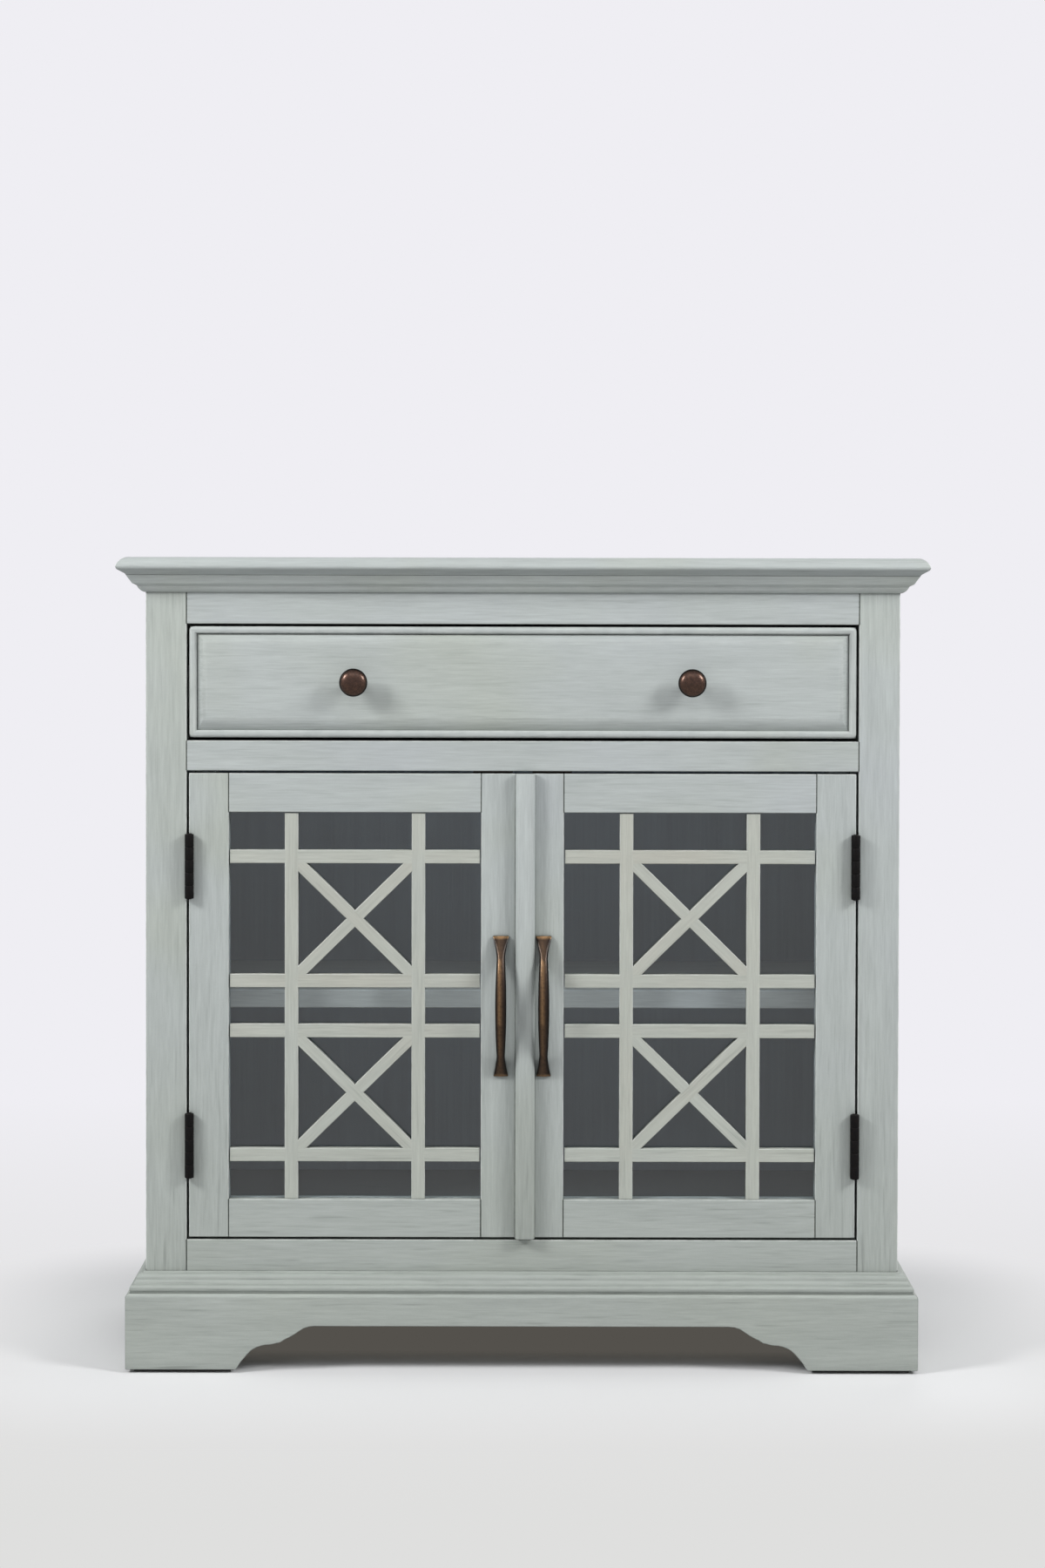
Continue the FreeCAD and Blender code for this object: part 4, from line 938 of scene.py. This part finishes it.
def makeCoverStrip(look):
    low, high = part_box("right_door_cover_strip")
    bm = startMesh()
    addBox(bm, low, high)
    fronts = [edge for edge in inFront(bm.edges, low.y + mm) if spanOf(edge, 2) > 0.1]
    roundOver(bm, fronts, look["round"], look["segments"])
    soften(bm, sharpEdges(bm, 60), look["arris"])
    makePiece("right_door_cover_strip", bm, [paintUpright], 30, "coverStrip")


makeCoverStrip(stripLook)


# Knobs: a section turned about its axis, as (radius, forward of the drawer's field)
knobLook = {
    "centres": (-169.7 * mm, 169.7 * mm), "level": 693.7 * mm,
    "section": ((0, 0), (7.5, 0), (7.5, 1.6), (6.9, 2.9), (5.4, 3.8), (4.9, 5.4), (4.9, 8.0), (5.9, 10.6), (8.8, 13.0),
                (12.4, 14.9), (13.8, 16.0), (14.2, 16.9), (14.1, 17.7), (13.5, 18.3), (13.0, 18.7), (12.6, 19.35),
                (11.9, 20.15), (10.9, 20.95), (9.5, 21.7), (7.6, 22.35), (5.2, 22.8), (2.7, 23.0), (0, 23.05)),
    "turns": 48, "domeEdge": 12.8, "domeFoot": 18.6,
}


def makeKnobs(look):
    bm = startMesh()
    for x in look["centres"]:
        points = [bm.verts.new((x + radius * mm, frontLook["fieldFront"] - forward * mm, look["level"]))
                  for radius, forward in look["section"]]
        section = [bm.edges.new(pair) for pair in zip(points, points[1:])]
        bmesh.ops.spin(bm, geom=points + section, cent=(x, 0, look["level"]), axis=(0, 1, 0), angle=math.radians(360),
                       steps=look["turns"], use_merge=True)
    bmesh.ops.remove_doubles(bm, verts=bm.verts, dist=0.01 * mm)
    faceOutwards(bm)
    settled = bm.verts.layers.float["settled"]
    # Everything but the dome's face, its rim included, takes the blackened colour
    for corner in bm.verts:
        radius = min(math.hypot(corner.co.x - x, corner.co.z - look["level"]) for x in look["centres"]) / mm
        forward = (frontLook["fieldFront"] - corner.co.y) / mm
        corner[settled] = 0 if radius < look["domeEdge"] and forward > look["domeFoot"] else 1
    makePiece("drawer_knobs", bm, [antiqueBronze], 50)


makeKnobs(knobLook)


# Bow handles: a bar with a rounded face, waisted near both ends and bowed forward. Its wear, with a painted
# highlight, is brightest a little left of the middle (centre, half width), on its upper half and at its ends; its sides
# are tarnished and painted darker as a dark reflection (centre, from, over).
handleLook = {
    "endHalf": 8.1, "footHalf": 7.5, "neckHalf": 4.1, "bellyHalf": 5.6, "neckFromEnd": 22.0, "footLength": 14.0,
    "endThickness": 3.0, "bowThickness": 6.5, "reach": 25.0, "cuts": 39, "across": 9, "rounding": 3.6,
    "endRounding": 0.9, "flare": 1.6, "roll": 0.985, "arris": 0.9 * mm, "lowered": 1.4 * mm, "wornFace": (-0.25, 0.5),
    "tarnish": (-0.08, 0.35, 0.5), "neckWear": 0.08, "upperWear": 0.5, "lowerWear": 0.2, "topWear": 0.9,
    "footWear": 0.4,
}


def blend(first, second, share):
    return first + (second - first) * share


def makeHandle(door):
    look = handleLook
    low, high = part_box(door + "_handle")
    half = (high.z - low.z) / 2 / mm
    neck, foot = half - look["neckFromEnd"], half - look["footLength"]
    bm = startMesh()
    addBox(bm, (-1, -1, -half), (1, 0, half))
    lengths = [edge for edge in bm.edges if spanOf(edge, 2) > half]
    bmesh.ops.subdivide_edges(bm, edges=lengths, cuts=look["cuts"], use_grid_fill=True)
    widths = [edge for edge in bm.edges if spanOf(edge, 0) > 1]
    bmesh.ops.subdivide_edges(bm, edges=widths, cuts=look["across"], use_grid_fill=True)
    settled, rubbed = (bm.verts.layers.float[name] for name in ("settled", "rubbed"))
    wearAndHighlightAt, wearAndHighlightHalf = look["wornFace"]
    darkSideAt, darkSideFrom, darkSideOver = look["tarnish"]
    for corner in bm.verts:
        z, side = corner.co.z, math.sin(corner.co.x * math.pi / 2)
        if abs(z) > neck:
            share = (abs(z) - neck) / (half - neck)
            width = blend(look["neckHalf"], look["endHalf" if z > 0 else "footHalf"], share ** look["flare"])
            rounding = blend(look["rounding"], look["endRounding"], share)
            wearAndHighlight = look["neckWear"]
        else:
            width = blend(look["neckHalf"], look["bellyHalf"], 1 - (z / neck) ** 2)
            rounding = look["rounding"]
            wearAndHighlight = look["upperWear" if z > -0.2 * half else "lowerWear"]
        outer = blend(look["endThickness"], look["reach"], 1 - (z / half) ** 2)
        inner = max(0, (look["reach"] - look["bowThickness"]) * (1 - (z / foot) ** 2)) if abs(z) < foot else 0
        front = corner.co.y < -0.5
        # the sides: tarnish with a painted dark reflection; the face: wear with a painted highlight, strongest up top
        corner[settled] = min(1, max(0, abs(side - darkSideAt) - darkSideFrom) / darkSideOver) if front else 1
        corner[rubbed] = wearAndHighlight * max(0, 1 - abs(side - wearAndHighlightAt) / wearAndHighlightHalf) if front else 0
        if front and abs(z) > half - 1:
            corner[rubbed] = look["topWear" if z > 0 else "footWear"]
            corner[settled] = 0
        fall = 1 - math.sqrt(1 - (look["roll"] * side) ** 2)
        corner.co.x = side * width
        corner.co.y = -outer + min(rounding, outer - 0.8) * fall if front else -inner
    bmesh.ops.scale(bm, vec=(mm, mm, mm), verts=bm.verts)
    ends = {edge for edge in bm.edges if all(abs(corner.co.z) > (half - 0.1) * mm for corner in edge.verts)}
    place = ((high.x + low.x) / 2, high.y, (high.z + low.z) / 2 - look["lowered"])
    bmesh.ops.translate(bm, vec=place, verts=bm.verts)
    faceOutwards(bm)
    soften(bm, ends & set(sharpEdges(bm, 60)), look["arris"], 3)
    makePiece(door + "_handle", bm, [rubbedBronze], 40)


makeHandle("left_door")
makeHandle("right_door")
print("knobs, handles and cover strip made")


# Hinges: knuckles on one pin, the post's leaf and the door's leaf taking turns
hingeLook = {
    "axis": (335.1 * mm, -155.6 * mm), "levels": (226.8 * mm, 508.4 * mm), "height": 65.0 * mm, "knuckles": 5,
    "barrel": 4.5 * mm, "gap": 0.25 * mm, "leafThickness": 1.2 * mm, "leafBack": -132.8 * mm,
    "leafFront": -150.8 * mm, "leafArris": 0.15 * mm, "postEdge": 338.4 * mm, "doorEdge": 335.8 * mm,
    "arris": 0.35 * mm, "pinHead": 2.8 * mm, "pinReach": 0.6 * mm, "pinArris": 0.5 * mm,
}


def addDrum(bm, centre, radius, low, high, arris):
    made = bmesh.ops.create_cone(bm, cap_ends=True, segments=40, radius1=radius, radius2=radius, depth=high - low)
    bmesh.ops.translate(bm, vec=(*centre, (low + high) / 2), verts=made["verts"])
    rims = {edge for corner in made["verts"] for edge in corner.link_edges if spanOf(edge, 2) < 1e-6}
    soften(bm, rims, arris, 3)


def makeHingeLeaves(nodeName, sides, own, edgeX, leafSide, name=None):
    look = hingeLook
    bm = startMesh()
    step = look["height"] / look["knuckles"]
    for level in look["levels"]:
        bottom = level - look["height"] / 2
        for x in sides:
            axisX, axisY = x * look["axis"][0], look["axis"][1]
            left, right = sorted((x * edgeX, x * (edgeX + leafSide * look["leafThickness"])))
            plate = addBox(bm, (left, look["leafFront"], bottom), (right, look["leafBack"], bottom + look["height"]))
            soften(bm, {edge for corner in plate for edge in corner.link_edges}, look["leafArris"])
            for place in own:
                low = bottom + place * step + look["gap"] / 2
                high = low + step - look["gap"]
                addDrum(bm, (axisX, axisY), look["barrel"], low, high, look["arris"])
                addBox(bm, (left, axisY, low), (right, look["leafFront"], high))
    makePiece(nodeName, bm, [hingeBlack], 32, name)


def makeHingePins(look):
    bm = startMesh()
    for level in look["levels"]:
        for x in (-1, 1):
            reach = look["height"] / 2 + look["pinReach"]
            centre = (x * look["axis"][0], look["axis"][1])
            addDrum(bm, centre, look["pinHead"], level - reach, level + reach, look["pinArris"])
    makePiece("hinge_pins", bm, [hingeBlack], 32)


makeHingeLeaves("hinge_frame_leaves", (1, -1), (0, 2, 4), hingeLook["postEdge"], -1, "postHingeLeaves")
makeHingeLeaves("left_door_hinge_leaves", (-1,), (1, 3), hingeLook["doorEdge"], 1)
makeHingeLeaves("right_door_hinge_leaves", (1,), (1, 3), hingeLook["doorEdge"], 1)
makeHingePins(hingeLook)
print("hinges made")


# Parts that keep their own shape and only get a finish
def dress(nodeName, finish):
    part = nodes[nodeName]
    if not part.material_slots:
        part.data.materials.append(finish)
    for place in part.material_slots:
        place.material = finish


keptParts = {
    zincSteel: ["case_screws", "drawer_screws", "shelf_pins", "slide_outer_members", "slide_middle_members",
                "slide_inner_members", "left_door_fixings", "right_door_fixings"],
    catchPlastic: ["door_catches"],
    padRubber: ["foot_pads"],
    doorGlass: ["left_door_glass", "right_door_glass"],
}
for finish, names in keptParts.items():
    for nodeName in names:
        dress(nodeName, finish)
print("kept parts dressed")


# Floor, room and lamps
floorLook = {
    "colour": (0.84, 0.84, 0.845, 1), "bounce": (0.56, 0.56, 0.57, 1), "under": (84, 81, 76), "size": 14.0,
    "footprint": (0.398, 0.17, 1.0), "fade": (0.02, 0.26), "shelter": (-0.025, -0.09),
    "front": (223, 223, 222), "back": (239, 238, 243), "slope": (-0.6, 1.4),
    "mottle": (0.8274, 0.8274, 0.832325, 1), "mottleScale": 3.0, "roughness": 0.9, "specular": 0.1,
}


def seenRays(tree):
    path = put(tree, "LightPath").outputs
    mirrored = maths(tree, "MAXIMUM", path["Is Glossy Ray"], path["Is Transmission Ray"])
    return maths(tree, "MAXIMUM", path["Is Camera Ray"], mirrored)


def layFloor(look):
    finish, tree, surface = startFinish("paleFloor", {
        "Roughness": look["roughness"], "Specular IOR Level": look["specular"]})
    place = put(tree, "TexCoord").outputs["Object"]
    pale = mixColour(tree, cloudy(tree, place, look["mottleScale"]), look["colour"], look["mottle"])
    # the shadow stays round the chest's footprint; further out the floor runs into the backdrop
    beyond = vectors(tree, "SUBTRACT", vectors(tree, "ABSOLUTE", place)[0], look["footprint"])[0]
    distance = vectors(tree, "LENGTH", vectors(tree, "MAXIMUM", beyond, (0, 0, 0))[0])["Value"]
    sides = put(tree, "SeparateXYZ", {0: beyond}).outputs
    # Under the chest camera rays see a flat glowing brown-grey (under): a painted shadow
    sheltered = remap(tree, maths(tree, "MAXIMUM", sides["X"], sides["Y"]), *look["shelter"])
    fade = remap(tree, distance, *look["fade"], interpolation_type="SMOOTHSTEP")
    depth = put(tree, "SeparateXYZ", {0: place}).outputs["Y"]
    far = mixColour(tree, remap(tree, depth, *look["slope"]), colourOf(*look["front"]), colourOf(*look["back"]))
    seen = seenRays(tree)
    tree.links.new(mixColour(tree, seen, look["bounce"], pale), surface.inputs["Base Color"])
    glow = put(tree, "Emission", {"Color": far})
    # painted shadow under the chest, glowing
    underShadeGlow = put(tree, "Emission", {"Color": colourOf(*look["under"])})
    covered, faded = maths(tree, "MULTIPLY", sheltered, seen), maths(tree, "MULTIPLY", fade, seen)
    near = mixShaders(tree, covered, surface, underShadeGlow)
    showInstead(tree, mixShaders(tree, faded, near, glow))
    bm = bmesh.new()
    bmesh.ops.create_circle(bm, cap_ends=True, segments=96, radius=look["size"])
    floor = addObject("paleFloor", endMesh("paleFloor", bm, [finish]))


roomLook = {"fill": (0.95, 0.97, 1.0, 1), "fillStrength": 0.25, "shown": colourOf(239, 238, 243)}


def lightRoom(look):
    world = bpy.data.worlds.new("paleRoom")
    scene.world = world
    world.use_nodes = True
    tree = world.node_tree
    tree.nodes.clear()
    seen = seenRays(tree)
    fill = put(tree, "Background", {"Color": look["fill"], "Strength": look["fillStrength"]})
    shown = put(tree, "Background", {"Color": look["shown"], "Strength": 1.0})
    put(tree, "OutputWorld", {"Surface": mixShaders(tree, seen, fill, shown).outputs[0]})


lampAim = (0, -0.1, 0.45)
lampLook = {
    "left": {"place": (-1.97, -1.27, 1.84), "power": 41.5, "size": (0.7, 0.7)},
    "right": {"place": (1.97, -1.27, 1.84), "power": 38.5, "size": (0.7, 0.7)},
    "above": {"place": (0, -2.2, 2.3), "power": 10, "size": (2.4, 1.2)},
    "behind": {"place": (0.6, 2.6, 1.5), "power": 16, "size": (1.6, 1.2)},
}


def hangLamps(lamps):
    for name, look in lamps.items():
        light = bpy.data.lights.new(name + "Softbox", "AREA")
        light.shape = "RECTANGLE"
        light.size, light.size_y = look["size"]
        light.energy = look["power"]
        lamp = addObject(name + "Softbox", light)
        place = Vector(look["place"])
        turn = (Vector(lampAim) - place).to_track_quat("-Z", "Y").to_matrix().to_4x4()
        lamp.matrix_world = Matrix.Translation(place) @ turn
        lamp.visible_camera = False


layFloor(floorLook)
lightRoom(roomLook)
hangLamps(lampLook)
print("floor, room and lamps set")
